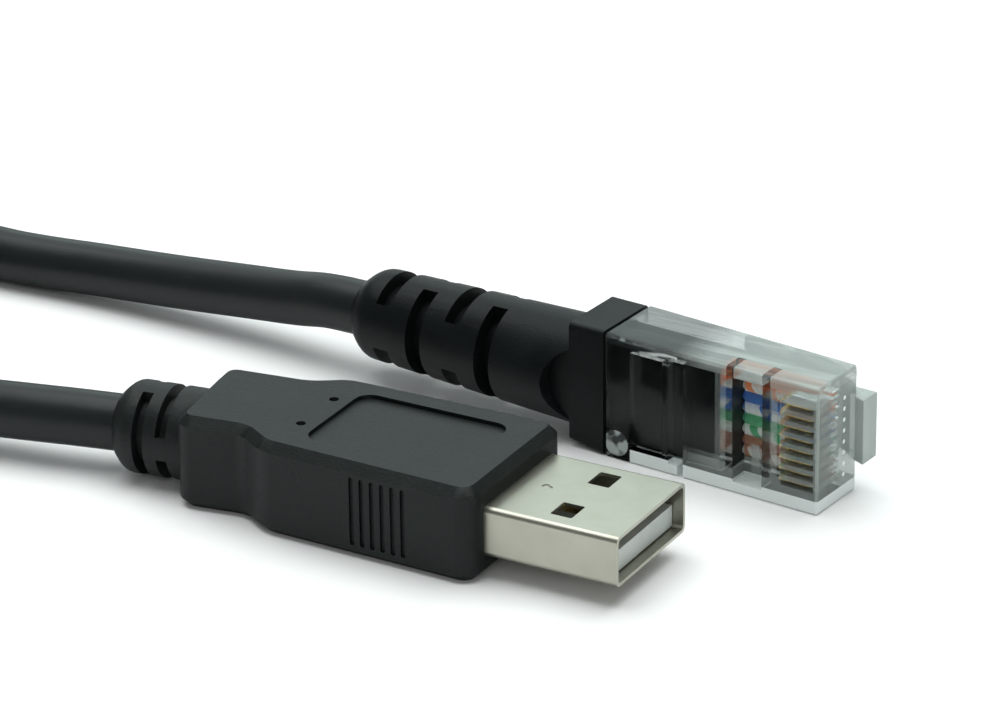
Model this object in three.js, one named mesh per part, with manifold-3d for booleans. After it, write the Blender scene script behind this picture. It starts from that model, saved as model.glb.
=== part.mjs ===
// A programming cable: a flat rectangular plug on one end and a clear eight-way
// modular plug on the other, each with a black moulding, joined by one round cord.
// Millimetres, +Z up. The flat plug points along +X and the floor is z = 0.

import * as THREE from 'three';
import { mergeVertices } from 'three/addons/utils/BufferGeometryUtils.js';
import Module from 'manifold-3d';

// Shared sizes
const SEAT_GAP = 0.3;            // between pieces that seat against each other
const SLIP = 0.12;               // round a thin blade or a wire in its slot
const CORD_DIAMETER = 5.0;

// Flat plug: pressed steel shell, insulator and four contact strips
const SHELL_LENGTH = 12.3;       // out of the moulding
const SHELL_WIDTH = 12.0;
const SHELL_HEIGHT = 4.5;
const SHELL_WALL = 0.3;
const SHELL_CORNER = 0.5;
const WINDOW_LENGTH = 2.0;
const WINDOW_WIDTH = 2.4;
const WINDOW_OFFSET = 3.2;       // centreline to the window's middle
const WINDOW_SETBACK = 5.0;      // tip to the window's front edge
const TONGUE_THICKNESS = 1.9;
const TONGUE_RECESS = 0.4;
const INSULATOR_BLOCK = 3.0;     // full-height block at the back of the shell
const STRIP_WIDTH = 1.0;
const STRIP_LENGTH = 7.0;
const STRIP_THICKNESS = 0.25;
const STRIP_PLACES = [-3.5, -1.0, 1.0, 3.5];

// Flat plug: black moulding, with its grip, waist, neck and strain relief
const GRIP_LENGTH = 20.4;
const GRIP_HEIGHT = 8.5;
const GRIP_WIDTH_FRONT = 16.0;
const GRIP_WIDTH_REAR = 15.0;
const GRIP_FRONT_CORNER = 1.8;
const GRIP_EDGE = 0.8;
const SHOULDER_LENGTH = 2.9;
const NECK_WIDTH = 11.4;
const NECK_LENGTH = 7.2;
const NECK_CORNER = 1.6;
const NECK_LEAN = 8;             // degrees, the set that the cord has given it
const PANEL_LENGTH = 14.4;
const PANEL_WIDTH = 10.1;
const PANEL_SETBACK = 3.4;       // front of the moulding to the panel
const PANEL_DEPTH = 0.35;
const PANEL_CORNER = 1.4;
const VENT_DIAMETER = 0.85;
const VENT_SPACING = 5.4;
const VENT_SETBACK = 1.5;        // behind the panel
const VENT_DEPTH = 1.2;
const FINGER_GROOVES = 6;
const FINGER_PITCH = 1.06;
const FINGER_WIDTH = 0.45;
const FINGER_DEPTH = 0.25;
const FINGER_HEIGHT = 6.2;
const FINGER_SETBACK = 6.6;      // front of the moulding to the first groove
const RELIEF_LENGTH = 7.0;
const RELIEF_DIAMETER = 8.1;
const RELIEF_END_DIAMETER = 6.2;
const RELIEF_TAPER = 1.4;
const RELIEF_SLOT = 1.0;
const RELIEF_FIRST_SLOT = 2.0;   // neck to the middle of the first slot
const RELIEF_SLOT_PITCH = 2.15;

// Modular plug: clear body that stands on its narrow side
const PLUG_WIDTH = 11.68;        // upright here
const PLUG_LENGTH = 21.4;
const PLUG_DEPTH_FRONT = 6.3;
const PLUG_DEPTH_REAR = 7.1;
const PLUG_EDGE = 0.4;
const PLUG_WALL = 1.0;
const JACKET_HALL = 11.2;        // length of the rear hollow that takes the jacket
const WIRE_PITCH = 1.016;
const WIRE_COUNT = 8;
const WIRE_DIAMETER = 0.92;
const WIRE_DEPTH = 3.9;          // contact face to the wires' middle
const WIRE_TUNNEL_END = 0.9;     // nose to the end of the wires
const BLADE_LENGTH = 3.0;
const BLADE_WIDTH = 2.5;
const BLADE_THICKNESS = 0.35;
const BLADE_SETBACK = 0.55;      // nose to the blade
const BLADE_RECESS = 0.75;       // contact face to the blade's edge
const WIRE_BAR_SETBACK = 5.5;    // nose to the notch of the wire clamp
const WIRE_BAR_LENGTH = 2.9;
const WIRE_BAR_DEPTH = 1.4;
const JACKET_BAR_SETBACK = 13.8; // nose to the notch of the jacket clamp
const JACKET_BAR_LENGTH = 4.9;
const JACKET_BAR_DEPTH = 0.9;
const LATCH_WIDTH = 6.0;
const LATCH_THICKNESS = 1.1;
const LATCH_ROOT_THICKNESS = 2.0;
const LATCH_NOSE = 1.1;          // how far its root stands ahead of the nose
const LATCH_LENGTH = 14.0;
const LATCH_RISE = 3.4;
const LATCH_TIP_WIDTH = 3.2;
const LATCH_WIDE_LENGTH = 7.7;   // nose to where it narrows to its tip
const LATCH_CLEARANCE = 0.2;     // under the narrow part

// Modular plug: black boot, with its collar, barrel and flexing relief
const COLLAR_LENGTH = 3.5;
const COLLAR_EDGE = 0.45;
const COLLAR_HEEL = 0.6;         // how far the foot of the collar rises to its rear
const BARREL_DIAMETER_FRONT = 9.7;
const BARREL_DIAMETER_REAR = 8.3;
const BARREL_LENGTH = 23.7;
const BARREL_BLEND = 1.8;
const BOOT_END_DIAMETER = 6.3;
const BOOT_TAPER = 1.8;
const BOOT_SLOT = 1.6;
const BOOT_SLOTS = 4;
const BOOT_FIRST_SLOT = 8.6;     // collar to the middle of the first slot
const BOOT_SLOT_PITCH = 3.75;

// Both reliefs: slots cut down to a core, in turn on two sides and on top and bottom
const SLOT_CORE_DIAMETER = 5.9;
const SIDE_SLOT_SPAN = 146;      // degrees of arc of a slot on the sides
const TOP_SLOT_SPAN = 104;       // degrees of arc of a slot on top of the boot
const FOOT_SLOT_SPAN = 140;      // degrees of arc of a slot below the boot
const RELIEF_TOP_SLOT_SPAN = 150;
const END_SHARE = 0.3;           // how far along its taper a relief's end has swollen
const END_SWELL = 0.6;           // by this share of the difference in diameter

// Where the modular plug's near lower nose corner stands, from the flat plug's tip
const PLUG_AHEAD = 6.75;
const PLUG_BESIDE = 17.1;
const PLUG_TURN = -5.6;          // degrees

// Cord: two free runs and a neat coil, held by a tie
const COIL_X = -116.5;           // middle of the coil, from the flat plug's tip
const COIL_Y = 8;
const COIL_TURN_RADIUS = 25;     // at the middle of its turns
const COIL_TURNS_WIDE = 3;
const COIL_LAYERS = 2;
const TIE_WIDTH = 9;
const TIE_THICKNESS = 0.6;

// Colours
const BLACK_GRIP = new THREE.MeshStandardMaterial({ color: 0x30383a, roughness: 0.62, metalness: 0 });
const BLACK_BOOT = new THREE.MeshStandardMaterial({ color: 0x2b3031, roughness: 0.5, metalness: 0 });
const BLACK_CORD = new THREE.MeshStandardMaterial({ color: 0x34393b, roughness: 0.55, metalness: 0 });
const STEEL = new THREE.MeshStandardMaterial({ color: 0xc6cabe, roughness: 0.35, metalness: 1 });
const WHITE_PLASTIC = new THREE.MeshStandardMaterial({ color: 0xd6dedb, roughness: 0.5, metalness: 0 });
const GOLD = new THREE.MeshStandardMaterial({ color: 0xc39a45, roughness: 0.3, metalness: 1 });
const CLEAR = new THREE.MeshStandardMaterial({
  color: 0xe6ecea, roughness: 0.1, metalness: 0, transparent: true, opacity: 0.35,
});
const TIE_BLACK = new THREE.MeshStandardMaterial({ color: 0x22262a, roughness: 0.8, metalness: 0 });
const WIRE_COLOURS = [0xd98a78, 0xe4e2dc, 0x34558e, 0xe2e4e6, 0x5c9470, 0xe0e4de, 0xa07868, 0xe4dcd4];

const RAD = Math.PI / 180;
const ARC_STEPS = 5;
const ROUND_STEPS = 32;
const WIRE_STEPS = 12;
const COIL_STEPS = 48;
const wasm = await Module();
wasm.setup();

// Solids

function solidOf(geometry) {
  const bare = geometry.clone();
  bare.deleteAttribute('normal');
  bare.deleteAttribute('uv');
  const merged = mergeVertices(bare, 1e-4);
  const triVerts = new Uint32Array(merged.index.array);
  return new wasm.Manifold(new wasm.Mesh({ numProp: 3, vertProperties: merged.attributes.position.array, triVerts }));
}

function geometryOf(solid) {
  const mesh = solid.getMesh();
  const geometry = new THREE.BufferGeometry();
  geometry.setAttribute('position', new THREE.BufferAttribute(mesh.vertProperties, 3));
  geometry.setIndex(new THREE.BufferAttribute(mesh.triVerts, 1));
  return geometry;
}

function piece(name, shape, material) {
  const geometry = shape.isBufferGeometry ? shape : geometryOf(shape);
  geometry.computeVertexNormals();
  const mesh = new THREE.Mesh(geometry, material);
  mesh.name = name;
  return mesh;
}

// A closed outline through corners [x, y, radius], rounded where the radius is above 0
function outline(corners) {
  const shape = new THREE.Shape();
  const count = corners.length;
  corners.forEach(([x, y, radius], i) => {
    const corner = new THREE.Vector2(x, y);
    const before = new THREE.Vector2(...corners[(i + count - 1) % count].slice(0, 2));
    const after = new THREE.Vector2(...corners[(i + 1) % count].slice(0, 2));
    const start = corner.clone().add(before.sub(corner).setLength(radius));
    const end = corner.clone().add(after.sub(corner).setLength(radius));
    if (i === 0) shape.moveTo(start.x, start.y);
    else shape.lineTo(start.x, start.y);
    if (radius > 0) shape.quadraticCurveTo(corner.x, corner.y, end.x, end.y);
  });
  shape.closePath();
  return shape;
}

function rectangle(x0, y0, x1, y1, radius = 0) {
  return outline([[x0, y0, radius], [x1, y0, radius], [x1, y1, radius], [x0, y1, radius]]);
}

// Extrudes an outline from one height to another, with an edge broken by `edge`
function extrude(shape, low, high, edge = 0) {
  const geometry = new THREE.ExtrudeGeometry(shape, {
    depth: high - low - 2 * edge,
    curveSegments: ARC_STEPS,
    bevelEnabled: edge > 0,
    bevelSize: edge,
    bevelOffset: -edge,
    bevelThickness: edge,
    bevelSegments: 3,
  });
  return geometry.translate(0, 0, low + edge);
}

// The outline lies across X: its own x runs along Y and its own y runs along Z
function extrudeAlongX(shape, low, high, edge = 0) {
  const turn = new THREE.Matrix4().makeBasis(
    new THREE.Vector3(0, 1, 0), new THREE.Vector3(0, 0, 1), new THREE.Vector3(1, 0, 0));
  return extrude(shape, low, high, edge).applyMatrix4(turn);
}

// A turned solid on the X axis from [along, radius] pairs that rise along X
function turned(profile, steps = ROUND_STEPS) {
  const first = profile[0][0];
  const last = profile[profile.length - 1][0];
  const points = [[first, 0], ...profile, [last, 0]].map(([along, radius]) => new THREE.Vector2(radius, along));
  return new THREE.LatheGeometry(points, steps).rotateZ(-Math.PI / 2);
}

function box(x0, x1, y0, y1, z0, z1) {
  const geometry = new THREE.BoxGeometry(x1 - x0, y1 - y0, z1 - z0);
  return geometry.translate((x0 + x1) / 2, (y0 + y1) / 2, (z0 + z1) / 2);
}

function cutAll(solid, cutters) {
  return cutters.reduce((rest, cutter) => rest.subtract(solidOf(cutter)), solid);
}

// The rounded end of a relief, from its tip up to its full diameter
function roundedEnd(end, taper, tipDiameter, fullDiameter) {
  const swell = tipDiameter / 2 + (fullDiameter - tipDiameter) / 2 * END_SWELL;
  return [[end, tipDiameter / 2], [end + taper * END_SHARE, swell], [end + taper, fullDiameter / 2]];
}

// Two opposite slots of a relief: a ring cut from its skin to its core, in two arcs
function slotPair(middle, width, outerDiameter, facing, firstSpan, secondSpan = firstSpan) {
  const outer = outerDiameter / 2 + 1;
  const inner = SLOT_CORE_DIAMETER / 2;
  return [[0, firstSpan], [180, secondSpan]].map(([side, span]) => {
    const from = (facing + side - span / 2) * RAD;
    const to = (facing + side + span / 2) * RAD;
    const ring = new THREE.Shape();
    ring.absarc(0, 0, outer, from, to, false);
    ring.absarc(0, 0, inner, to, from, true);
    ring.closePath();
    const slot = new THREE.ExtrudeGeometry(ring, { depth: width, curveSegments: 14, bevelEnabled: false });
    const turn = new THREE.Matrix4().makeBasis(
      new THREE.Vector3(0, 1, 0), new THREE.Vector3(0, 0, 1), new THREE.Vector3(1, 0, 0));
    return slot.translate(0, 0, middle - width / 2).applyMatrix4(turn);
  });
}

// Flat plug. Its own frame has the middle of the shell's mouth at the origin.

const MOULD_FRONT = -SHELL_LENGTH;
const WAIST = MOULD_FRONT - GRIP_LENGTH - SHOULDER_LENGTH;
const SHELL_INNER_HALF = SHELL_HEIGHT / 2 - SHELL_WALL;
const TONGUE_TOP = -SHELL_INNER_HALF + SLIP + TONGUE_THICKNESS;
const STRIP_BACK = MOULD_FRONT + INSULATOR_BLOCK + SLIP;

function usbShell() {
  const half = SHELL_WIDTH / 2;
  const inner = half - SHELL_WALL;
  const section = rectangle(-half, -SHELL_HEIGHT / 2, half, SHELL_HEIGHT / 2, SHELL_CORNER);
  const mouth = rectangle(-inner, -SHELL_INNER_HALF, inner, SHELL_INNER_HALF, SHELL_CORNER - SHELL_WALL);
  const tube = solidOf(extrudeAlongX(section, MOULD_FRONT, 0));
  const bore = extrudeAlongX(mouth, MOULD_FRONT - 1, 1);
  const front = -WINDOW_SETBACK;
  const windows = [-WINDOW_OFFSET, WINDOW_OFFSET].map((y) => box(
    front - WINDOW_LENGTH, front, y - WINDOW_WIDTH / 2, y + WINDOW_WIDTH / 2, -SHELL_HEIGHT, SHELL_HEIGHT));
  return cutAll(tube, [bore, ...windows]);
}

function usbInsulator() {
  const half = SHELL_WIDTH / 2 - SHELL_WALL - SLIP;
  const floor = -SHELL_INNER_HALF + SLIP;
  const tongue = solidOf(box(MOULD_FRONT + 1, -TONGUE_RECESS, -half, half, floor, TONGUE_TOP));
  const block = solidOf(box(
    MOULD_FRONT, MOULD_FRONT + INSULATOR_BLOCK, -half, half, floor, SHELL_INNER_HALF - SLIP));
  const grooves = STRIP_PLACES.map((y) => box(
    MOULD_FRONT + INSULATOR_BLOCK, STRIP_BACK + STRIP_LENGTH + SLIP,
    y - STRIP_WIDTH / 2 - SLIP, y + STRIP_WIDTH / 2 + SLIP,
    TONGUE_TOP - STRIP_THICKNESS - SLIP, TONGUE_TOP + 1));
  return cutAll(tongue.add(block), grooves);
}

function usbContact(y) {
  return box(STRIP_BACK, STRIP_BACK + STRIP_LENGTH, y - STRIP_WIDTH / 2, y + STRIP_WIDTH / 2,
    TONGUE_TOP - STRIP_THICKNESS, TONGUE_TOP);
}

function usbGrip() {
  const front = GRIP_WIDTH_FRONT / 2;
  const rear = GRIP_WIDTH_REAR / 2;
  const back = MOULD_FRONT - GRIP_LENGTH;
  const neck = NECK_WIDTH / 2 - GRIP_EDGE / 2;
  const plan = outline([
    [WAIST, -neck, 0],
    [back, -rear, SHOULDER_LENGTH / 3],
    [MOULD_FRONT, -front, GRIP_FRONT_CORNER],
    [MOULD_FRONT, front, GRIP_FRONT_CORNER],
    [back, rear, SHOULDER_LENGTH / 3],
    [WAIST, neck, 0],
  ]);
  return solidOf(extrude(plan, -GRIP_HEIGHT / 2, GRIP_HEIGHT / 2, GRIP_EDGE));
}

// Neck and relief, modelled straight back from the waist and then leaned
function usbTail() {
  const half = NECK_WIDTH / 2;
  const overlap = SHOULDER_LENGTH;
  const plan = rectangle(-NECK_LENGTH, -half, overlap, half, NECK_CORNER);
  const neck = solidOf(extrude(plan, -GRIP_HEIGHT / 2, GRIP_HEIGHT / 2, GRIP_EDGE));
  const end = -NECK_LENGTH - RELIEF_LENGTH;
  const relief = solidOf(turned([
    ...roundedEnd(end, RELIEF_TAPER, RELIEF_END_DIAMETER, RELIEF_DIAMETER),
    [-NECK_LENGTH + NECK_CORNER, RELIEF_DIAMETER / 2],
  ]));
  const first = -NECK_LENGTH - RELIEF_FIRST_SLOT;
  const slots = [
    ...slotPair(first, RELIEF_SLOT, RELIEF_DIAMETER, 90, RELIEF_TOP_SLOT_SPAN),
    ...slotPair(first - RELIEF_SLOT_PITCH, RELIEF_SLOT, RELIEF_DIAMETER, 0, SIDE_SLOT_SPAN),
  ];
  return neck.add(cutAll(relief, slots)).rotate([0, 0, NECK_LEAN]).translate([WAIST, 0, 0]);
}

function usbOvermould() {
  const top = GRIP_HEIGHT / 2;
  const panelFront = MOULD_FRONT - PANEL_SETBACK;
  const panel = extrude(
    rectangle(panelFront - PANEL_LENGTH, -PANEL_WIDTH / 2, panelFront, PANEL_WIDTH / 2, PANEL_CORNER),
    top - PANEL_DEPTH, top + 1);
  const vents = [-VENT_SPACING / 2, VENT_SPACING / 2].map((y) => new THREE.CylinderGeometry(
    VENT_DIAMETER / 2, VENT_DIAMETER / 2, 2 * VENT_DEPTH, WIRE_STEPS).rotateX(Math.PI / 2)
    .translate(panelFront - PANEL_LENGTH - VENT_SETBACK, y, top));
  const grooves = [];
  for (let i = 0; i < FINGER_GROOVES; i += 1) {
    const x = MOULD_FRONT - FINGER_SETBACK - i * FINGER_PITCH;
    const along = (MOULD_FRONT - x) / GRIP_LENGTH;
    const side = (GRIP_WIDTH_FRONT + (GRIP_WIDTH_REAR - GRIP_WIDTH_FRONT) * along) / 2;
    for (const facing of [-1, 1]) {
      const inner = facing * (side - FINGER_DEPTH);
      const outer = facing * (side + 1);
      grooves.push(box(x - FINGER_WIDTH / 2, x + FINGER_WIDTH / 2,
        Math.min(inner, outer), Math.max(inner, outer), -FINGER_HEIGHT / 2, FINGER_HEIGHT / 2));
    }
  }
  return cutAll(usbGrip().add(usbTail()), [panel, ...vents, ...grooves]);
}

// Modular plug. Its own frame has the near lower corner of the nose at the origin:
// the contact face is y = 0, the latch is on the far side, and the body runs back along -X.

const PLUG_MIDDLE = PLUG_WIDTH / 2;
const WIRE_SPREAD = WIRE_PITCH * (WIRE_COUNT - 1);
const HALL_FRONT = -PLUG_LENGTH + JACKET_HALL;
const BOOT_FRONT = -PLUG_LENGTH - SEAT_GAP / 2;
const COLLAR_REAR = BOOT_FRONT - COLLAR_LENGTH;
const BOOT_REAR = COLLAR_REAR - BARREL_LENGTH;

function wireHeight(i) {
  return PLUG_MIDDLE + WIRE_SPREAD / 2 - i * WIRE_PITCH;
}

function latch() {
  const back = PLUG_DEPTH_FRONT;
  const side = outline([
    [-LATCH_ROOT_THICKNESS, back - PLUG_WALL, 0],
    [LATCH_NOSE, back - PLUG_WALL / 2, 0.3],
    [LATCH_NOSE, back - PLUG_WALL / 2 + LATCH_ROOT_THICKNESS, 0.4],
    [-LATCH_ROOT_THICKNESS, back + LATCH_ROOT_THICKNESS, 1],
    [-LATCH_LENGTH, back + LATCH_RISE + LATCH_THICKNESS, 0.3],
    [-LATCH_LENGTH, back + LATCH_RISE, 0.3],
    [-LATCH_ROOT_THICKNESS, back + LATCH_ROOT_THICKNESS - LATCH_THICKNESS, 0.5],
  ]);
  const arm = solidOf(extrude(side, PLUG_MIDDLE - LATCH_WIDTH / 2, PLUG_MIDDLE + LATCH_WIDTH / 2));
  const notches = [
    [PLUG_MIDDLE - LATCH_WIDTH / 2 - 1, PLUG_MIDDLE - LATCH_TIP_WIDTH / 2],
    [PLUG_MIDDLE + LATCH_TIP_WIDTH / 2, PLUG_MIDDLE + LATCH_WIDTH / 2 + 1],
  ].map(([low, high]) => box(
    -LATCH_LENGTH - 1, -LATCH_WIDE_LENGTH, back + LATCH_CLEARANCE, back + LATCH_RISE + LATCH_THICKNESS + 1,
    low, high));
  return cutAll(arm, notches);
}

function rj45Housing() {
  const plan = outline([
    [-PLUG_LENGTH, 0, PLUG_EDGE],
    [0, 0, PLUG_EDGE],
    [0, PLUG_DEPTH_FRONT, PLUG_EDGE],
    [-PLUG_LENGTH, PLUG_DEPTH_REAR, PLUG_EDGE],
  ]);
  const body = solidOf(extrude(plan, 0, PLUG_WIDTH, PLUG_EDGE / 2));
  const hall = box(-PLUG_LENGTH - 1, HALL_FRONT, PLUG_WALL, PLUG_DEPTH_FRONT - PLUG_WALL,
    PLUG_WALL, PLUG_WIDTH - PLUG_WALL);
  const wireHalf = WIRE_DIAMETER / 2 + SLIP;
  const tunnel = box(HALL_FRONT - 1, -WIRE_TUNNEL_END, WIRE_DEPTH - wireHalf, WIRE_DEPTH + wireHalf,
    PLUG_MIDDLE - WIRE_SPREAD / 2 - wireHalf, PLUG_MIDDLE + WIRE_SPREAD / 2 + wireHalf);
  const slots = [];
  for (let i = 0; i < WIRE_COUNT; i += 1) {
    const half = BLADE_THICKNESS / 2 + SLIP;
    slots.push(box(-BLADE_SETBACK - BLADE_LENGTH - SLIP, -BLADE_SETBACK + SLIP, -1, WIRE_DEPTH,
      wireHeight(i) - half, wireHeight(i) + half));
  }
  const barLow = PLUG_WALL;
  const barHigh = PLUG_WIDTH - PLUG_WALL;
  const wireBar = box(-WIRE_BAR_SETBACK - WIRE_BAR_LENGTH, -WIRE_BAR_SETBACK, -1, WIRE_BAR_DEPTH, barLow, barHigh);
  const jacketBar = box(-JACKET_BAR_SETBACK - JACKET_BAR_LENGTH, -JACKET_BAR_SETBACK,
    -1, JACKET_BAR_DEPTH - SEAT_GAP, barLow, barHigh);
  return cutAll(body.add(latch()), [hall, tunnel, ...slots, wireBar, jacketBar]);
}

function rj45Contact(i) {
  const z = wireHeight(i);
  const back = -BLADE_SETBACK - BLADE_LENGTH;
  return box(back, -BLADE_SETBACK, BLADE_RECESS, BLADE_RECESS + BLADE_WIDTH,
    z - BLADE_THICKNESS / 2, z + BLADE_THICKNESS / 2);
}

function rj45Wire(i) {
  const front = -WIRE_TUNNEL_END - SLIP;
  return turned([[HALL_FRONT, WIRE_DIAMETER / 2], [front, WIRE_DIAMETER / 2]], WIRE_STEPS)
    .translate(0, WIRE_DEPTH, wireHeight(i));
}

function rj45Boot() {
  const middle = PLUG_DEPTH_REAR / 2;
  const section = rectangle(0, 0, PLUG_DEPTH_REAR, PLUG_WIDTH, COLLAR_EDGE);
  const collar = solidOf(extrudeAlongX(section, COLLAR_REAR, BOOT_FRONT, COLLAR_EDGE / 3));
  const heel = outline([
    [COLLAR_REAR - 1, -1, 0],
    [BOOT_FRONT, -1, 0],
    [BOOT_FRONT, 0, 0],
    [COLLAR_REAR, COLLAR_HEEL, 0],
    [COLLAR_REAR - 1, COLLAR_HEEL, 0],
  ]);
  const upright = new THREE.Matrix4().makeBasis(
    new THREE.Vector3(1, 0, 0), new THREE.Vector3(0, 0, 1), new THREE.Vector3(0, -1, 0));
  const heelCut = extrude(heel, -PLUG_DEPTH_REAR - 1, 1).applyMatrix4(upright);
  const filling = solidOf(box(
    BOOT_FRONT - SEAT_GAP, HALL_FRONT - SEAT_GAP, PLUG_WALL + SLIP, PLUG_DEPTH_FRONT - PLUG_WALL - SLIP,
    PLUG_WALL + SLIP, PLUG_WIDTH - PLUG_WALL - SLIP));
  const barrel = solidOf(turned([
    ...roundedEnd(BOOT_REAR, BOOT_TAPER, BOOT_END_DIAMETER, BARREL_DIAMETER_REAR),
    [COLLAR_REAR - BARREL_BLEND, BARREL_DIAMETER_FRONT / 2],
    [COLLAR_REAR + SEAT_GAP, middle],
  ]));
  const slots = [];
  for (let i = 0; i < BOOT_SLOTS; i += 1) {
    const at = COLLAR_REAR - BOOT_FIRST_SLOT - i * BOOT_SLOT_PITCH;
    const arcs = i % 2 === 0 ? [0, SIDE_SLOT_SPAN] : [90, TOP_SLOT_SPAN, FOOT_SLOT_SPAN];
    slots.push(...slotPair(at, BOOT_SLOT, BARREL_DIAMETER_FRONT, ...arcs));
  }
  const slotted = cutAll(barrel, slots).translate([0, middle, PLUG_MIDDLE]);
  return cutAll(collar, [heelCut]).add(filling).add(slotted);
}

// Cord. The points are the middle of the cord, from the flat plug's tip, z above the floor.

const CORD_RADIUS = CORD_DIAMETER / 2;
const COIL_LIFT = TIE_THICKNESS + SEAT_GAP;
const COIL_OUTER = COIL_TURN_RADIUS + CORD_DIAMETER * COIL_TURNS_WIDE / 2;
const COIL_INNER = COIL_TURN_RADIUS - CORD_DIAMETER * COIL_TURNS_WIDE / 2;
const COIL_TOP = COIL_LIFT + CORD_DIAMETER * COIL_LAYERS;

// A point of a turned frame at (x, y), `along` and `across` in that frame
function plugPoint(x, y, turn, along, across, height) {
  const c = Math.cos(turn * RAD);
  const s = Math.sin(turn * RAD);
  return [x + along * c - across * s, y + along * s + across * c, height];
}

const USB_EXIT = plugPoint(WAIST, 0, NECK_LEAN, -NECK_LENGTH - RELIEF_LENGTH - SEAT_GAP, 0, GRIP_HEIGHT / 2);
const RJ45_EXIT = plugPoint(
  PLUG_AHEAD, PLUG_BESIDE, PLUG_TURN, BOOT_REAR - SEAT_GAP, PLUG_DEPTH_REAR / 2, PLUG_MIDDLE);
const USB_RUN = [
  USB_EXIT,
  [-54, -2.78, 4.2],
  [-57.5, -3.42, 4.1],
  [-61.4, -3.95, 3.9],
  [-65.4, -4.8, 3.8],
  [-70, -5.9, 4.0],
  [-75.5, -7.3, 4.7],
  [-81, -8.95, 5.8],
  [-87.4, -11.4, 7.4],
];
const RJ45_RUN = [
  RJ45_EXIT,
  [-46, 25.85, 5.6],
  [-49.7, 26.3, 4.95],
  [-55, 26.8, 4.3],
  [-60.8, 27.1, 3.7],
  [-66, 27.3, 3.25],
  [-71.9, 27.3, 2.9],
  [-77, 27.1, 2.65],
  [-82.4, 26.9, 2.6],
  [-87.7, 27.4, 2.7],
];

function tube(points) {
  const curve = new THREE.CatmullRomCurve3(points.map((p) => new THREE.Vector3(...p)));
  const section = new THREE.Shape();
  section.absarc(0, 0, CORD_RADIUS, 0, 2 * Math.PI, false);
  const steps = Math.round(curve.getLength() / (2.2 * CORD_DIAMETER));
  return new THREE.ExtrudeGeometry(section, { steps, curveSegments: 5, extrudePath: curve });
}

function coil() {
  const edge = CORD_RADIUS / 2;
  const profile = [
    [COIL_INNER, COIL_LIFT + edge],
    [COIL_INNER + edge, COIL_LIFT],
    [COIL_OUTER - edge, COIL_LIFT],
    [COIL_OUTER, COIL_LIFT + edge],
    [COIL_OUTER, COIL_TOP - edge],
    [COIL_OUTER - edge, COIL_TOP],
    [COIL_INNER + edge, COIL_TOP],
    [COIL_INNER, COIL_TOP - edge],
    [COIL_INNER, COIL_LIFT + edge],
  ].map(([radius, height]) => new THREE.Vector2(radius, height));
  return new THREE.LatheGeometry(profile, COIL_STEPS).rotateX(Math.PI / 2);
}

// The tie is a strap round the turns, on the side of the coil away from the plugs
function coilTie() {
  const bulge = COIL_INNER - Math.sqrt(COIL_INNER ** 2 - (TIE_WIDTH / 2) ** 2);
  const far = -COIL_OUTER - SEAT_GAP;
  const near = -COIL_INNER + bulge + SEAT_GAP;
  const top = COIL_TOP + SEAT_GAP;
  const shape = rectangle(far - TIE_THICKNESS, 0, near + TIE_THICKNESS, top + TIE_THICKNESS, CORD_RADIUS / 2);
  const hole = rectangle(far, TIE_THICKNESS, near, top, CORD_RADIUS / 4);
  shape.holes.push(hole);
  const across = new THREE.Matrix4().makeBasis(
    new THREE.Vector3(1, 0, 0), new THREE.Vector3(0, 0, 1), new THREE.Vector3(0, -1, 0));
  return extrude(shape, -TIE_WIDTH / 2, TIE_WIDTH / 2).applyMatrix4(across);
}

// Assembly

const flatPlug = new THREE.Group();
flatPlug.add(piece('usb_overmould', usbOvermould(), BLACK_GRIP));
flatPlug.add(piece('usb_shell', usbShell(), STEEL));
flatPlug.add(piece('usb_insulator', usbInsulator(), WHITE_PLASTIC));
STRIP_PLACES.forEach((y, i) => flatPlug.add(piece(`usb_contact_${i + 1}`, usbContact(y), GOLD)));
flatPlug.position.z = GRIP_HEIGHT / 2;

const modularPlug = new THREE.Group();
modularPlug.add(piece('rj45_boot', rj45Boot(), BLACK_BOOT));
modularPlug.add(piece('rj45_housing', rj45Housing(), CLEAR));
for (let i = 0; i < WIRE_COUNT; i += 1) {
  const colour = new THREE.MeshStandardMaterial({ color: WIRE_COLOURS[i], roughness: 0.5, metalness: 0 });
  modularPlug.add(piece(`rj45_contact_${i + 1}`, rj45Contact(i), GOLD));
  modularPlug.add(piece(`rj45_wire_${i + 1}`, rj45Wire(i), colour));
}
modularPlug.position.set(PLUG_AHEAD, PLUG_BESIDE, 0);
modularPlug.rotation.z = PLUG_TURN * RAD;

const ends = new THREE.Group();
ends.add(flatPlug, modularPlug);

const cord = new THREE.Group();
cord.add(piece('cord_usb_run', tube(USB_RUN), BLACK_CORD));
cord.add(piece('cord_rj45_run', tube(RJ45_RUN), BLACK_CORD));
const wound = new THREE.Group();
wound.add(piece('cord_coil', coil(), BLACK_CORD));
wound.add(piece('coil_tie', coilTie(), TIE_BLACK));
wound.position.set(COIL_X, COIL_Y, 0);
cord.add(wound);

// The origin is on the floor under the middle of the two plugs
const cable = new THREE.Group();
cable.add(ends, cord);
const middle = new THREE.Box3().setFromObject(ends, true).getCenter(new THREE.Vector3());
cable.position.set(-middle.x, -middle.y, 0);

export default cable;
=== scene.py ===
"""A programming cable, dressed for its picture.

Two plugs lie on a pale floor: a flat one with a steel shell and a black moulded
grip, and a clear eight-way modular one with a black slotted boot. One round cord
joins them, with its slack wound in a tied coil outside the picture.
Sizes are in millimetres until a piece is finished, and metres after that.
"""

import logging
import math
from dataclasses import dataclass
from enum import Enum
from typing import Callable, Optional, Sequence, Union

import bpy
from mathutils import Matrix, Quaternion, Vector


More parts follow.
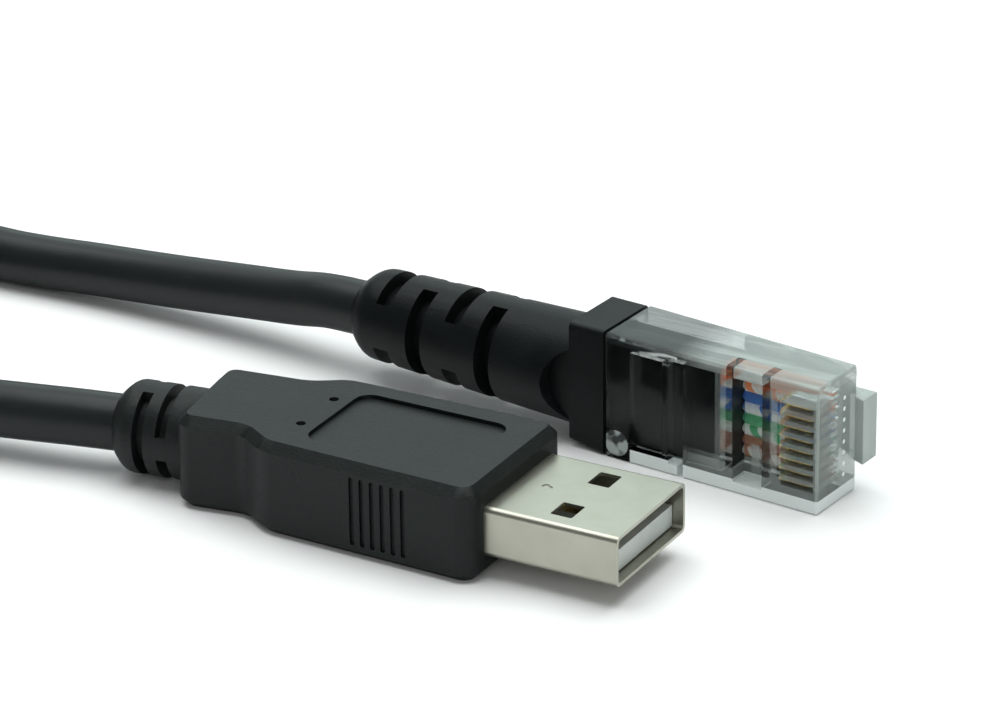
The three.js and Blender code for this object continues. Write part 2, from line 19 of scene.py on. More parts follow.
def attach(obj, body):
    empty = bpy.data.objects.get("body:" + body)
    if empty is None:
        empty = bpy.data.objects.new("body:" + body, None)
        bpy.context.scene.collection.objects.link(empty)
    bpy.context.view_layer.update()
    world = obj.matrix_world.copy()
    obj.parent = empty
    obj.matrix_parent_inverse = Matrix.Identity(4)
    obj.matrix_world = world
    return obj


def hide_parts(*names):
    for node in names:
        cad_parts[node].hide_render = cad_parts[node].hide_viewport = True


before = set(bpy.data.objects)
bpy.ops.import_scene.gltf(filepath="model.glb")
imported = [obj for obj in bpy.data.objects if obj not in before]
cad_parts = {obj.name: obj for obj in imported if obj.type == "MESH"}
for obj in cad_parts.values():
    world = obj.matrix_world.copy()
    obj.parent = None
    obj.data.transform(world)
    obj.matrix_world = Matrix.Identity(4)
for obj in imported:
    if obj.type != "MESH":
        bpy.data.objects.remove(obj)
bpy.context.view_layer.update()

LOG = logging.getLogger("programming_cable")
MM = 0.001
Point = tuple[float, float, float]
Span = tuple[Optional[float], Optional[float]]
Operand = Union["Value", int, float]
Piece = bpy.types.Object
Material = bpy.types.Material
OPEN: Span = (None, None)
PAST = 1.0  # how far a cutting tool runs past the surface that it cuts
NEAR = 0.01  # how close a corner is to a place that it is said to be at

# The solids' own places, in millimetres from the floor under the middle of the plugs
TIP = Vector((21.357, -10.709, 0.0))
GRIP_MIDDLE = 4.25
PLUG_AHEAD = 6.75
PLUG_BESIDE = 17.1
PLUG_TURN = math.radians(-5.6)

FLAT_PLUG = Matrix.Translation(TIP + Vector((0, 0, GRIP_MIDDLE)))
MODULAR_PLUG = (
    Matrix.Translation(TIP + Vector((PLUG_AHEAD, PLUG_BESIDE, 0))) @ Matrix.Rotation(PLUG_TURN, 4, "Z"))


class Along(Enum):
    """An axis of a plug's own frame."""

    X = 0
    Y = 1
    Z = 2


class Slot(Enum):
    """The record's material slots for the pieces made here."""

    GRIP = "grip_black"
    BOOT = "boot_black"
    CORD = "cord_black"
    TIE = "tie_black"
    SHELL = "shell_steel"
    CLEAR = "housing_clear"
    WHITE_WIRE = "wire_white"


# Shader maths


def _operator(operation: str, turned: bool = False) -> Callable[["Value", Operand], "Value"]:
    """Makes the method of an operator with two operands.

    Args:
        operation: The Math node's operation.
        turned: Whether the other operand comes first.

    Returns:
        The method.
    """
    def method(self: "Value", other: Operand) -> "Value":
        return self.math(operation, *((other, self) if turned else (self, other)))
    return method


class Value:
    """A shader socket that takes part in arithmetic: each operator adds a Math node."""

    __add__, __radd__ = _operator("ADD"), _operator("ADD", True)
    __sub__, __rsub__ = _operator("SUBTRACT"), _operator("SUBTRACT", True)
    __mul__ = _operator("MULTIPLY")
    above, below = _operator("GREATER_THAN"), _operator("LESS_THAN")  # 1 where it is so, else 0

    def __init__(self, tree: bpy.types.NodeTree, socket: bpy.types.NodeSocket) -> None:
        """Wraps one output socket of a tree."""
        self.tree = tree
        self.socket = socket

    def math(self, operation: str, *operands: Operand, clamp: bool = False) -> "Value":
        """Adds one Math node.

        Args:
            operation: The node's operation.
            operands: Its inputs, in order.
            clamp: Whether the result is held between 0 and 1.

        Returns:
            The node's result.
        """
        node = self.tree.nodes.new("ShaderNodeMath")
        node.operation = operation
        node.use_clamp = clamp
        for socket, operand in zip(node.inputs, operands):
            feed(socket, operand)
        return Value(self.tree, node.outputs[0])

    def sine(self) -> "Value":
        """The sine of self, in radians."""
        return self.math("SINE", self)

    def top(self, *others: Operand) -> "Value":
        """The largest of self and the others."""
        largest = self
        for other in others:
            largest = self.math("MAXIMUM", largest, other)
        return largest

    def wrap(self, span: float) -> "Value":
        """Self, wrapped into the range from 0 to span."""
        return self.math("WRAP", self, span, 0.0)

    def ramp(self, low: float, high: float) -> "Value":
        """Self, mapped so that low gives 0 and high gives 1, and held there."""
        return self.math("MULTIPLY", self - low, 1.0 / (high - low), clamp=True)


def feed(socket: bpy.types.NodeSocket, given: object) -> None:
    """Links a Value to a node's input, or sets the input to a number, colour or vector."""
    if isinstance(given, Value):
        given.tree.links.new(given.socket, socket)
    elif socket.type == "RGBA":
        socket.default_value = (*given, 1.0)[:4]
    else:
        socket.default_value = given


class Paint:
    """One material's node tree, with a Principled shader at its end."""

    def __init__(self, name: str) -> None:
        """Starts an empty material of that name."""
        self.material = bpy.data.materials.new(name)
        self.material.use_nodes = True
        self.tree = self.material.node_tree
        self.tree.nodes.clear()
        self.shader = self.tree.nodes.new("ShaderNodeBsdfPrincipled")
        output = self.tree.nodes.new("ShaderNodeOutputMaterial")
        self.tree.links.new(self.shader.outputs[0], output.inputs["Surface"])

    def node(self, kind: str, settings: Optional[dict] = None, out: Union[int, str] = 0,
             **sockets: object) -> Value:
        """Adds any node but a Math node.

        Args:
            kind: The node's type name.
            settings: Its own settings, which are set first.
            out: The output to return.
            sockets: Values or links by socket name, with spaces written as underscores, or by
                number after one underscore.

        Returns:
            The chosen output.
        """
        node = self.tree.nodes.new(kind)
        for key, setting in (settings or {}).items():
            setattr(node, key, setting)
        for key, given in sockets.items():
            feed(node.inputs[int(key[1:]) if key[0] == "_" else key.replace("_", " ")], given)
        return Value(self.tree, node.outputs[out])

    def local(self, frame_of: Matrix) -> Value:
        """The point on the object in millimetres in a plug's own frame."""
        back = frame_of.inverted()
        point = self.node("ShaderNodeTexCoord", out="Object")
        return self.node(
            "ShaderNodeMapping", Vector=point, Scale=(1 / MM, 1 / MM, 1 / MM),
            Rotation=tuple(back.to_euler()), Location=tuple(back.to_translation()))

    def veil(self, mask: Value, **sockets: object) -> None:
        """Lays a second Principled shader over the first, as far as a mask says."""
        over = self.tree.nodes.new("ShaderNodeBsdfPrincipled")
        self._set(over, sockets)
        mix = self.tree.nodes.new("ShaderNodeMixShader")
        output = next(node for node in self.tree.nodes if node.type == "OUTPUT_MATERIAL")
        self.tree.links.new(mask.socket, mix.inputs[0])
        self.tree.links.new(self.shader.outputs[0], mix.inputs[1])
        self.tree.links.new(over.outputs[0], mix.inputs[2])
        self.tree.links.new(mix.outputs[0], output.inputs["Surface"])

    def place(self, scale: Point = (1.0, 1.0, 1.0)) -> Value:
        """The point on the object in millimetres, stretched by scale along each axis."""
        point = self.node("ShaderNodeTexCoord", out="Object")
        return self.node("ShaderNodeMapping", Vector=point, Scale=tuple(along / MM for along in scale))

    def axis(self, point: Value, along: Along) -> Value:
        """One coordinate of a point."""
        return self.node("ShaderNodeSeparateXYZ", out=along.value, Vector=point)

    def noise(self, size: float, detail: float = 2.0, roughness: float = 0.5,
              scale: Point = (1.0, 1.0, 1.0)) -> Value:
        """Noise whose features are about size millimetres across.

        Args:
            size: The features' size.
            detail: How many finer layers it has.
            roughness: How strong the finer layers are.
            scale: How much it is squeezed along each axis.

        Returns:
            A value around 0.5.
        """
        return self.node(
            "ShaderNodeTexNoise", Vector=self.place(scale), Scale=1.0 / size, Detail=detail,
            Roughness=roughness)

    def mix(self, mask: Value, low: tuple, high: tuple) -> Value:
        """A colour between low and high by a mask."""
        return self.node("ShaderNodeMix", {"data_type": "RGBA"}, out=2, _0=mask, _6=low, _7=high)

    def bump(self, height: Value, depth: float, under: Optional[Value] = None) -> Value:
        """A normal from a height, where 1 stands for depth millimetres."""
        below = {} if under is None else {"Normal": under}
        return self.node("ShaderNodeBump", Height=height, Strength=1.0, Distance=depth * MM, **below)

    def finish(self, **sockets: object) -> Material:
        """Sets the Principled shader's sockets and returns the material."""
        self._set(self.shader, sockets)
        return self.material

    def _set(self, shader: bpy.types.Node, sockets: dict) -> None:
        """Sets a shader's sockets, by name with underscores for spaces."""
        for key, given in sockets.items():
            feed(shader.inputs[key.replace("_", " ")], given)


class Finish:
    """A procedural finish: its make method builds the material.

    Every finish has a name, and most have a colour, which is linear.
    """

    name: str

    def make(self) -> Material:
        """Builds the material."""
        raise NotImplementedError


@dataclass(frozen=True)
class MouldedVinyl(Finish):
    """Black moulded vinyl with a spark-eroded texture.

    Attributes:
        sheen_colour: The greyer colour of the worn and dusty parts.
        roughness: Its mean roughness.
        grain: The texture's size in millimetres.
        depth: The texture's depth in millimetres.
        gloss: How strongly it mirrors.
    """

    name: str
    colour: Point
    sheen_colour: Point
    roughness: float
    grain: float = 0.2
    depth: float = 0.03
    gloss: float = 0.25

    def make(self) -> Material:
        paint = Paint(self.name)
        fine = paint.noise(self.grain, 2.0, 0.6)
        broad = paint.noise(6.0, 3.0, 0.55)
        specks = paint.noise(0.35, 1.0, 0.4).ramp(0.66, 0.78)
        dust = broad.ramp(0.42, 0.72) * 0.5 + specks * 0.25
        return paint.finish(
            Base_Color=paint.mix(dust, self.colour, self.sheen_colour),
            Roughness=self.roughness + (broad - 0.5) * 0.18 + (fine - 0.5) * 0.12,
            Normal=paint.bump(fine, self.depth, under=paint.bump(broad, 0.03)),
            Specular_IOR_Level=self.gloss,
        )


@dataclass(frozen=True)
class CordJacket(Finish):
    """The smooth extruded jacket of the cord, with faint draw lines along it."""

    name: str = "cord jacket"
    colour: Point = (0.009, 0.012, 0.012)

    def make(self) -> Material:
        paint = Paint(self.name)
        broad = paint.noise(9.0, 3.0, 0.5)
        fine = paint.noise(0.25, 2.0, 0.5)
        scuffs = paint.noise(1.2, 4.0, 0.65, (0.25, 1.0, 1.0)).ramp(0.62, 0.74)
        return paint.finish(
            Base_Color=paint.mix(scuffs * 0.35, self.colour, (0.03, 0.036, 0.036)),
            Roughness=0.4 + (broad - 0.5) * 0.2 + scuffs * 0.12,
            Normal=paint.bump(fine, 0.004, under=paint.bump(broad, 0.06)),
            Specular_IOR_Level=0.26,
        )


@dataclass(frozen=True)
class NickelPlate(Finish):
    """Nickel-plated pressed steel, rolled along X, with fine scratches."""

    name: str = "nickel-plated steel"
    colour: Point = (0.42, 0.415, 0.355)

    def make(self) -> Material:
        paint = Paint(self.name)
        rolled = paint.noise(0.12, 3.0, 0.6, (0.04, 1.0, 1.0))
        broad = paint.noise(3.0, 3.0, 0.6)
        scratches = paint.noise(0.5, 3.0, 0.7, (0.08, 1.0, 1.0)).ramp(0.64, 0.7)
        return paint.finish(
            Base_Color=paint.mix(broad.ramp(0.3, 0.75), self.colour, (0.385, 0.38, 0.32)),
            Metallic=1.0,
            Roughness=0.34 + (broad - 0.5) * 0.1 + (rolled - 0.5) * 0.08 + scratches * 0.05,
            Normal=paint.bump(rolled, 0.001, under=paint.bump(broad, 0.004)),
        )


@dataclass(frozen=True)
class GoldPlate(Finish):
    """Gold plating on the contacts."""

    name: str = "gold plate"

    def make(self) -> Material:
        paint = Paint(self.name)
        worn = paint.noise(0.5, 3.0, 0.6)
        fine = paint.noise(0.08, 2.0, 0.5, (0.1, 1.0, 1.0))
        return paint.finish(
            Base_Color=paint.mix(worn.ramp(0.4, 0.75), (0.72, 0.50, 0.20), (0.55, 0.40, 0.18)),
            Metallic=1.0,
            Roughness=0.26 + (worn - 0.5) * 0.2,
            Normal=paint.bump(fine, 0.002),
        )


@dataclass(frozen=True)
class PaleResin(Finish):
    """The pale glass-filled resin of the insulator."""

    name: str = "insulator resin"

    def make(self) -> Material:
        paint = Paint(self.name)
        fine = paint.noise(0.12, 3.0, 0.6)
        broad = paint.noise(2.5, 2.0, 0.5)
        return paint.finish(
            Base_Color=paint.mix(broad.ramp(0.35, 0.7), (0.62, 0.66, 0.63), (0.54, 0.58, 0.55)),
            Roughness=0.42 + (fine - 0.5) * 0.15,
            Normal=paint.bump(fine, 0.006),
            Subsurface_Weight=0.08,
            Subsurface_Scale=0.0005,
        )


@dataclass(frozen=True)
class Region:
    """A box in the modular plug's own frame, in millimetres.

    Attributes:
        strength: The mask's value inside it.
        x: Its lowest and highest place along the plug, each None where it is open.
        y: The same in depth, from the contact face.
        z: The same in height.
    """

    strength: float = 1.0
    x: Span = OPEN
    y: Span = OPEN
    z: Span = OPEN

    def mask(self, point: Sequence[Value]) -> Value:
        """The region's strength inside it, and 0 outside."""
        tests = []
        for value, (low, high) in zip(point, (self.x, self.y, self.z)):
            tests += [] if low is None else [value.above(low)]
            tests += [] if high is None else [value.below(high)]
        inside = tests[0]
        for test in tests[1:]:
            inside = inside * test
        return inside * self.strength


@dataclass(frozen=True)
class ClearResin(Finish):
    """Clear polycarbonate, milky where its walls are seen edge on, with painted light, painted highlights and
    a painted reflection in places.

    Attributes:
        colour: What it takes from the light that passes.
        clear: How much of it lets light through, where it isn't milky.
        bend: Its refractive index, kept low so that its walls don't mirror the black boot.
        milky: The colour of the milky parts.
        bright: The colour of the foot, the shine and the row of pips in the nose.
        smoky: The colour of the milky parts over the black filling, and of the bands.
        filling: Where the change to the black filling starts and ends, along the plug.
        foot: The foot, painted bright as painted light shining through its clear bottom wall.
        head: The milky top wall.
        lip: The edge of the jacket clamp, which shines in streaks.
        bands: The dark bands at the two ends of the wire clamp.
        bead: The middle (along, height) and radius of the round bead in the near face.
        bead_depth: How deep the bead goes.
        pip_radius: The radius of one pip.
        pip_middle: The pips' depth, and the height of the lowest one.
        pip_pitch: Their distance.
        pips: Where the row of pips is.
        walls: The other milky parts, from the nose to the walls between the blades, with a painted reflection
            of the inner floor low on the near face.
    """

    name: str = "clear polycarbonate"
    colour: Point = (0.86, 0.90, 0.885)
    clear: float = 1.0
    bend: float = 1.13
    milky: Point = (0.40, 0.45, 0.43)
    bright: Point = (0.88, 0.94, 0.93)
    smoky: Point = (0.02, 0.025, 0.025)
    filling: tuple[float, float] = (-11.1, -14.6)
    foot: Region = Region(x=(-18.8, None), z=(None, 1.3))
    head: Region = Region(z=(10.75, None))
    lip: Region = Region(x=(-18.8, -14.0), y=(None, 1.0), z=(10.0, 11.2))
    bands: tuple[Region, Region] = (
        Region(x=(-9.1, -8.38), y=(None, 1.95), z=(2.3, None)),
        Region(x=(-5.56, -4.75), y=(None, 1.95), z=(2.3, None)))
    bead: Point = (-20.2, 1.56, 1.2)
    bead_depth: float = 0.7
    pip_radius: float = 0.2
    pip_middle: tuple[float, float] = (4.2, 1.78)
    pip_pitch: float = 1.016
    pips: Region = Region(x=(-0.2, None), z=(1.8, 9.9))
    walls: tuple[Region, ...] = (
        Region(0.34, x=(-0.45, None)),
        Region(0.8, x=(0.02, None)),
        Region(0.64, y=(7.25, None)),
        Region(0.7, y=(None, 0.3), z=(11.3, None)),
        Region(0.7, x=(-0.25, None), y=(None, 0.25)),
        Region(0.7, x=(-0.3, None), z=(11.4, None)),
        Region(0.45, y=(6.2, None)),
        # Painted reflection: pale low on the near face, as if the body's inner floor mirrored the light.
        Region(0.4, x=(-13.4, None), y=(None, 2.0), z=(None, 2.7)),
        Region(0.3, x=(-3.75, -0.45), y=(None, 3.3)),
        Region(0.22, x=(-10.2, -9.1), y=(None, 1.95)),
        Region(0.6, x=(-7.7, -6.9), y=(None, 1.95), z=(None, 4.0)),
        Region(0.35, x=(-4.7, -4.0), y=(None, 1.95)),
    )

    def _bead(self, x: Value, y: Value, z: Value) -> Value:
        """The mask of the round bead."""
        along, up, radius = self.bead
        across, rise = x - along, z - up
        return (across * across + rise * rise).below(radius ** 2) * y.below(self.bead_depth)

    def _pips(self, x: Value, y: Value, z: Value) -> Value:
        """The mask of the row of pips."""
        depth, lowest = self.pip_middle
        rise, across = (z - lowest).wrap(self.pip_pitch) - self.pip_pitch / 2, y - depth
        inside = (rise * rise + across * across).below(self.pip_radius ** 2)
        return inside * self.pips.mask((x, y, z))

    def make(self) -> Material:
        """Builds the material: a milky shader over a clear one, by the regions' masks; the milky shader also
        carries the painted light in the foot, painted highlights and a painted reflection.
        """
        paint = Paint(self.name)
        flow = paint.noise(2.2, 2.0, 0.5, (0.3, 1.0, 1.0))
        fine = paint.noise(0.3, 2.0, 0.5)
        streaks = paint.noise(1.3, 2.0, 0.5, (0.07, 1.0, 1.0)).ramp(0.5, 0.66)
        glints = paint.noise(1.3, 1.0, 0.5).ramp(0.46, 0.58)
        place = paint.local(MODULAR_PLUG)
        point = tuple(paint.axis(place, along) for along in Along)
        over_black = point[0].ramp(*self.filling)
        # Painted light: the foot is painted pale, standing in for light that shines through the clear bottom
        # wall.
        foot, head = self.foot.mask(point), self.head.mask(point) * (0.5 + streaks * 0.3)
        bands = self.bands[0].mask(point).top(self.bands[1].mask(point))
        shine = self.lip.mask(point) * paint.noise(0.8, 3.0, 0.6, (0.12, 1.0, 1.0)).ramp(0.48, 0.6)
        bead, pips = self._bead(*point), self._pips(*point)
        pale = ((1.0 - over_black) * (1.0 - bands)).top(foot, bead * glints, shine)
        veil = (foot * 0.88).top(
            head, bead * 0.9, pips, bands * 0.32, shine * 0.8, *(wall.mask(point) for wall in self.walls))
        tone = paint.mix(pips.top(foot, shine), self.milky, self.bright)
        paint.veil(
            veil,
            Base_Color=paint.mix(pale, self.smoky, tone),
            Roughness=0.22 + (fine - 0.5) * 0.2,
            Normal=paint.bump(flow, 0.03),
            Specular_IOR_Level=0.3,
        )
        return paint.finish(
            Base_Color=self.colour,
            Roughness=0.02 + fine.ramp(0.6, 0.9) * 0.03,
            Normal=paint.bump(flow, 0.008),
            Transmission_Weight=self.clear,
            IOR=self.bend,
            Coat_Weight=0.15,
            Coat_Roughness=0.03,
            Coat_IOR=1.4,
        )


@dataclass(frozen=True)
class WireInsulation(Finish):
    """Wire insulation of one colour, with a second colour in bands where it is a striped one, and a faint
    painted glow in its own colour.

    Attributes:
        band: The bands' colour, or None.
    """

    name: str
    colour: Point
    band: Optional[Point] = None

    def make(self) -> Material:
        paint = Paint(self.name)
        fine = paint.noise(0.4, 2.0, 0.5)
        colour: object = paint.mix(fine.ramp(0.3, 0.8), self.colour, tuple(0.8 * c for c in self.colour))
        if self.band is not None:
            point = paint.place()
            spiral = (paint.axis(point, Along.X) + paint.axis(point, Along.Z) * 0.8).wrap(2.6)
            colour = paint.mix(spiral.below(0.8), colour, self.band)
        return paint.finish(
            Base_Color=colour,
            Roughness=0.38 + (fine - 0.5) * 0.2,
            Normal=paint.bump(fine, 0.004),
            # Painted light: the insulation glows faintly in its own colour, to keep the wires bright inside
            # the clear body.
            Emission_Color=colour,
            Emission_Strength=0.1,
        )


@dataclass(frozen=True)
class HookTape(Finish):
    """The woven hook-and-loop strap of the tie."""

    name: str = "strap weave"

    def make(self) -> Material:
        paint = Paint(self.name)
        point = paint.place()
        across = (paint.axis(point, Along.Y) * 5.2).sine()
        along = ((paint.axis(point, Along.X) + paint.axis(point, Along.Z)) * 5.2).sine()
        loops = paint.noise(0.3, 3.0, 0.7)
        height = across * along * 0.25 + loops
        return paint.finish(
            Base_Color=paint.mix(loops.ramp(0.3, 0.8), (0.01, 0.011, 0.012), (0.05, 0.052, 0.056)),
            Roughness=0.85,
            Normal=paint.bump(height, 0.12),
            Sheen_Weight=0.3,
        )


# Modelling


class Bench:
    """The hand tools: each works on one object, in millimetres, with Blender's own operators."""

    def only(self, piece: Piece) -> None:
        """Selects one object and nothing else, in object mode."""
        if bpy.context.object is not None and bpy.context.object.mode != "OBJECT":
            bpy.ops.object.mode_set(mode="OBJECT")
        bpy.ops.object.select_all(action="DESELECT")
        piece.select_set(True)
        bpy.context.view_layer.objects.active = piece

    def _added(self, name: str) -> Piece:
        """Names the primitive that was just added and applies its place."""
        piece = bpy.context.object
        piece.name = name
        self.only(piece)
        bpy.ops.object.transform_apply(location=True, rotation=True, scale=True)
        return piece

    def block(self, name: str, low: Sequence[float], high: Sequence[float]) -> Piece:
        """A cuboid between two corners."""
        middle = (Vector(low) + Vector(high)) / 2
        bpy.ops.mesh.primitive_cube_add(size=1, location=middle, scale=Vector(high) - Vector(low))
        return self._added(name)

    def rod(self, name: str, start: Sequence[float], end: Sequence[float], radius: float,
            sides: int = 32) -> Piece:
        """A round rod between two points."""
        span = Vector(end) - Vector(start)
        turn = span.to_track_quat("Z", "Y").to_euler()
        bpy.ops.mesh.primitive_cylinder_add(
            vertices=sides, radius=radius, depth=span.length,
            location=(Vector(start) + Vector(end)) / 2, rotation=turn)
        return self._added(name)

    def turned(self, name: str, profile: Sequence[tuple[float, float]], sides: int = 64) -> Piece:
        """A round piece on the X axis, drawn out ring by ring.

        Args:
            name: The object's name.
            profile: Pairs of (place along X, radius), in order along X.
            sides: How many sides it has.

        Returns:
            The closed piece.
        """
        at, radius = profile[0]
        bpy.ops.mesh.primitive_circle_add(
            vertices=sides, radius=radius, fill_type="NGON", location=(at, 0, 0),
            rotation=(0, math.pi / 2, 0))
        piece = self._added(name)
        bpy.ops.object.mode_set(mode="EDIT")
        bpy.ops.mesh.select_mode(type="FACE")
        bpy.ops.mesh.select_all(action="SELECT")
        for along, wide in profile[1:]:
            bpy.ops.mesh.extrude_region_move(TRANSFORM_OT_translate={"value": (along - at, 0, 0)})
            bpy.ops.transform.resize(value=(1, wide / radius, wide / radius), center_override=(along, 0, 0))
            at, radius = along, wide
        bpy.ops.mesh.select_all(action="SELECT")
        bpy.ops.mesh.normals_make_consistent(inside=False)
        bpy.ops.object.mode_set(mode="OBJECT")
        return piece

    def sector(self, low: float, high: float, inner: float, outer: float, middle: float,
               span: float) -> Piece:
        """Part of a ring round the X axis, spun from a plane, as a tool to cut with.

        Args:
            low: Where it starts along X.
            high: Where it ends along X.
            inner: Its inner radius.
            outer: Its outer radius.
            middle: The angle of its middle from +Y, in degrees.
            span: Its arc in degrees.

        Returns:
            The closed sector.
        """
        bpy.ops.mesh.primitive_plane_add(size=1, location=((low + high) / 2, (inner + outer) / 2, 0))
        tool = bpy.context.object
        tool.scale = (high - low, outer - inner, 1)
        self._added("slot tool")
        end = math.radians(middle + span / 2)  # the operator spins back from its start
        tool.rotation_euler = (end, 0, 0)
        self._added("slot tool")
        bpy.ops.object.mode_set(mode="EDIT")
        bpy.ops.mesh.select_all(action="SELECT")
        bpy.ops.mesh.spin(
            steps=max(6, int(span / 8)), angle=math.radians(span), center=(0, 0, 0), axis=(1, 0, 0))
        bpy.ops.mesh.select_all(action="SELECT")
        bpy.ops.mesh.remove_doubles(threshold=0.0001)
        bpy.ops.mesh.normals_make_consistent(inside=False)
        bpy.ops.object.mode_set(mode="OBJECT")
        return tool

    def slots(self, at: float, width: float, inner: float, outer: float,
              arcs: Sequence[tuple[float, float]]) -> list[Piece]:
        """The tools for slots side by side round the X axis.

        Args:
            at: The slots' middle along X.
            width: Their width along X.
            inner: Their inner radius.
            outer: Their outer radius.
            arcs: The middle and span of each slot, in degrees.

        Returns:
            One sector for each arc.
        """
        return [self.sector(at - width / 2, at + width / 2, inner, outer, *arc) for arc in arcs]

    def _pick(self, piece: Piece, kind: str, test: Callable[[object], bool]) -> None:
        """Selects, in edit mode, the edges or faces that pass a test."""
        self.only(piece)
        bpy.ops.object.mode_set(mode="EDIT")
        bpy.ops.mesh.select_mode(type=kind)
        bpy.ops.mesh.select_all(action="DESELECT")
        bpy.ops.object.mode_set(mode="OBJECT")
        for part in piece.data.edges if kind == "EDGE" else piece.data.polygons:
            part.select = test(part)
        bpy.ops.object.mode_set(mode="EDIT")

    def pick_edges(self, piece: Piece, test: Callable[[Vector, Vector], bool]) -> None:
        """Selects, in edit mode, the edges whose two ends pass a test."""
        self._pick(piece, "EDGE", lambda edge: test(*(piece.data.vertices[i].co for i in edge.vertices)))

    def pick_faces(self, piece: Piece, test: Callable[[Vector, Vector], bool]) -> None:
        """Selects, in edit mode, the faces whose middle and normal pass a test."""
        self._pick(piece, "FACE", lambda face: test(face.center, face.normal))

    def bevel(self, piece: Piece, test: Callable[[Vector, Vector], bool], width: float,
              segments: int = 3) -> None:
        """Rounds the edges that pass a test."""
        self.pick_edges(piece, test)
        bpy.ops.mesh.bevel(offset=width, segments=segments, affect="EDGES", clamp_overlap=True)
        bpy.ops.object.mode_set(mode="OBJECT")

    def upright(self, low: Sequence[float], high: Sequence[float], radius: float,
                along: Along = Along.Z, segments: int = 5, name: str = "tool") -> Piece:
        """A block whose four edges along one axis are rounded."""
        piece = self.block(name, low, high)
        self.bevel(piece, lambda a, b: _runs(a, b, along), radius, segments)
        return piece

    def _apply(self, piece: Piece, kind: str, **settings: object) -> None:
        """Applies a modifier of that kind with its settings."""
        modifier = piece.modifiers.new(kind, kind)
        for key, setting in settings.items():
            setattr(modifier, key, setting)
        self.only(piece)
        bpy.ops.object.modifier_apply(modifier=modifier.name)

    def combine(self, piece: Piece, tools: Sequence[Piece], join: bool = False) -> None:
        """Cuts tools out of a piece, or joins them to it, and clears them away."""
        operation = "UNION" if join else "DIFFERENCE"
        for tool in tools:
            self._apply(piece, "BOOLEAN", object=tool, operation=operation, solver="EXACT")
            bpy.data.objects.remove(tool)

    def soften(self, piece: Piece, width: float, segments: int = 2, angle: float = 34.0) -> None:
        """Rounds every edge that is sharper than an angle by a little."""
        self._apply(
            piece, "BEVEL", width=width, segments=segments, limit_method="ANGLE",
            angle_limit=math.radians(angle), use_clamp_overlap=True)

    def move(self, piece: Piece, turn: Matrix) -> None:
        """Moves a piece's own mesh."""
        piece.matrix_world = turn @ piece.matrix_world
        self.only(piece)
        bpy.ops.object.transform_apply(location=True, rotation=True, scale=True)

    def finish(self, piece: Piece, place: Matrix, material: Material, slot: Slot,
               stands_for: Sequence[str] = (), smooth: float = 34.0) -> Piece:
        """Puts a finished piece in its place, in metres, and dresses it.

        Args:
            piece: The piece, in its plug's own frame.
            place: Where that frame is.
            material: Its finish.
            slot: The record's slot for it; not used.
            stands_for: The solids that it replaces.
            smooth: The angle in degrees under which its faces shade smoothly.

        Returns:
            The piece.
        """
        self.move(piece, Matrix.Scale(MM, 4) @ place)
        bpy.ops.object.shade_smooth_by_angle(angle=math.radians(smooth))
        self._apply(piece, "WEIGHTED_NORMAL", keep_sharp=True, weight=100)
        piece.data.materials.clear()
        piece.data.materials.append(material)
        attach(piece, "root")
        if stands_for:
            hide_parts(*stands_for)
        LOG.info("%s: %d faces", piece.name, len(piece.data.polygons))
        return piece


def _runs(first: Vector, second: Vector, along: Along) -> bool:
    """Whether an edge runs along an axis."""
    span = second - first
    return abs(span[along.value]) > 0.999 * span.length


def rounded_end(end: float, narrow: float, wide: float, taper: float,
                steps: int) -> list[tuple[float, float]]:
    """The rear of a moulding round the cord: a small chamfer, then a swell like a quarter round.

    Args:
        end: Where it starts along X.
        narrow: Its radius at the end.
        wide: Its full radius.
        taper: How far the swell reaches along X.
        steps: In how many steps.

    Returns:
        Its profile, for Bench.turned.
    """
    chamfer, depth = 0.1, 0.3
    profile = [(end, narrow - depth), (end + chamfer, narrow)]
    for step in range(1, steps + 1):
        t = step / steps
        profile.append((end + chamfer + taper * t, narrow + (wide - narrow) * math.sin(t * math.pi / 2)))
    return profile


def stand(name: str, data: bpy.types.ID) -> Piece:
    """Puts a new object with this data in the scene."""
    placed = bpy.data.objects.new(name, data)
    bpy.context.scene.collection.objects.link(placed)
    return placed


BENCH = Bench()


def redress(names: Sequence[str], material: Material) -> None:
    """Gives the solids of these names a better finish."""
    for name in names:
        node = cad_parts[name]
        for place in node.material_slots:
            place.material = material


# Studio


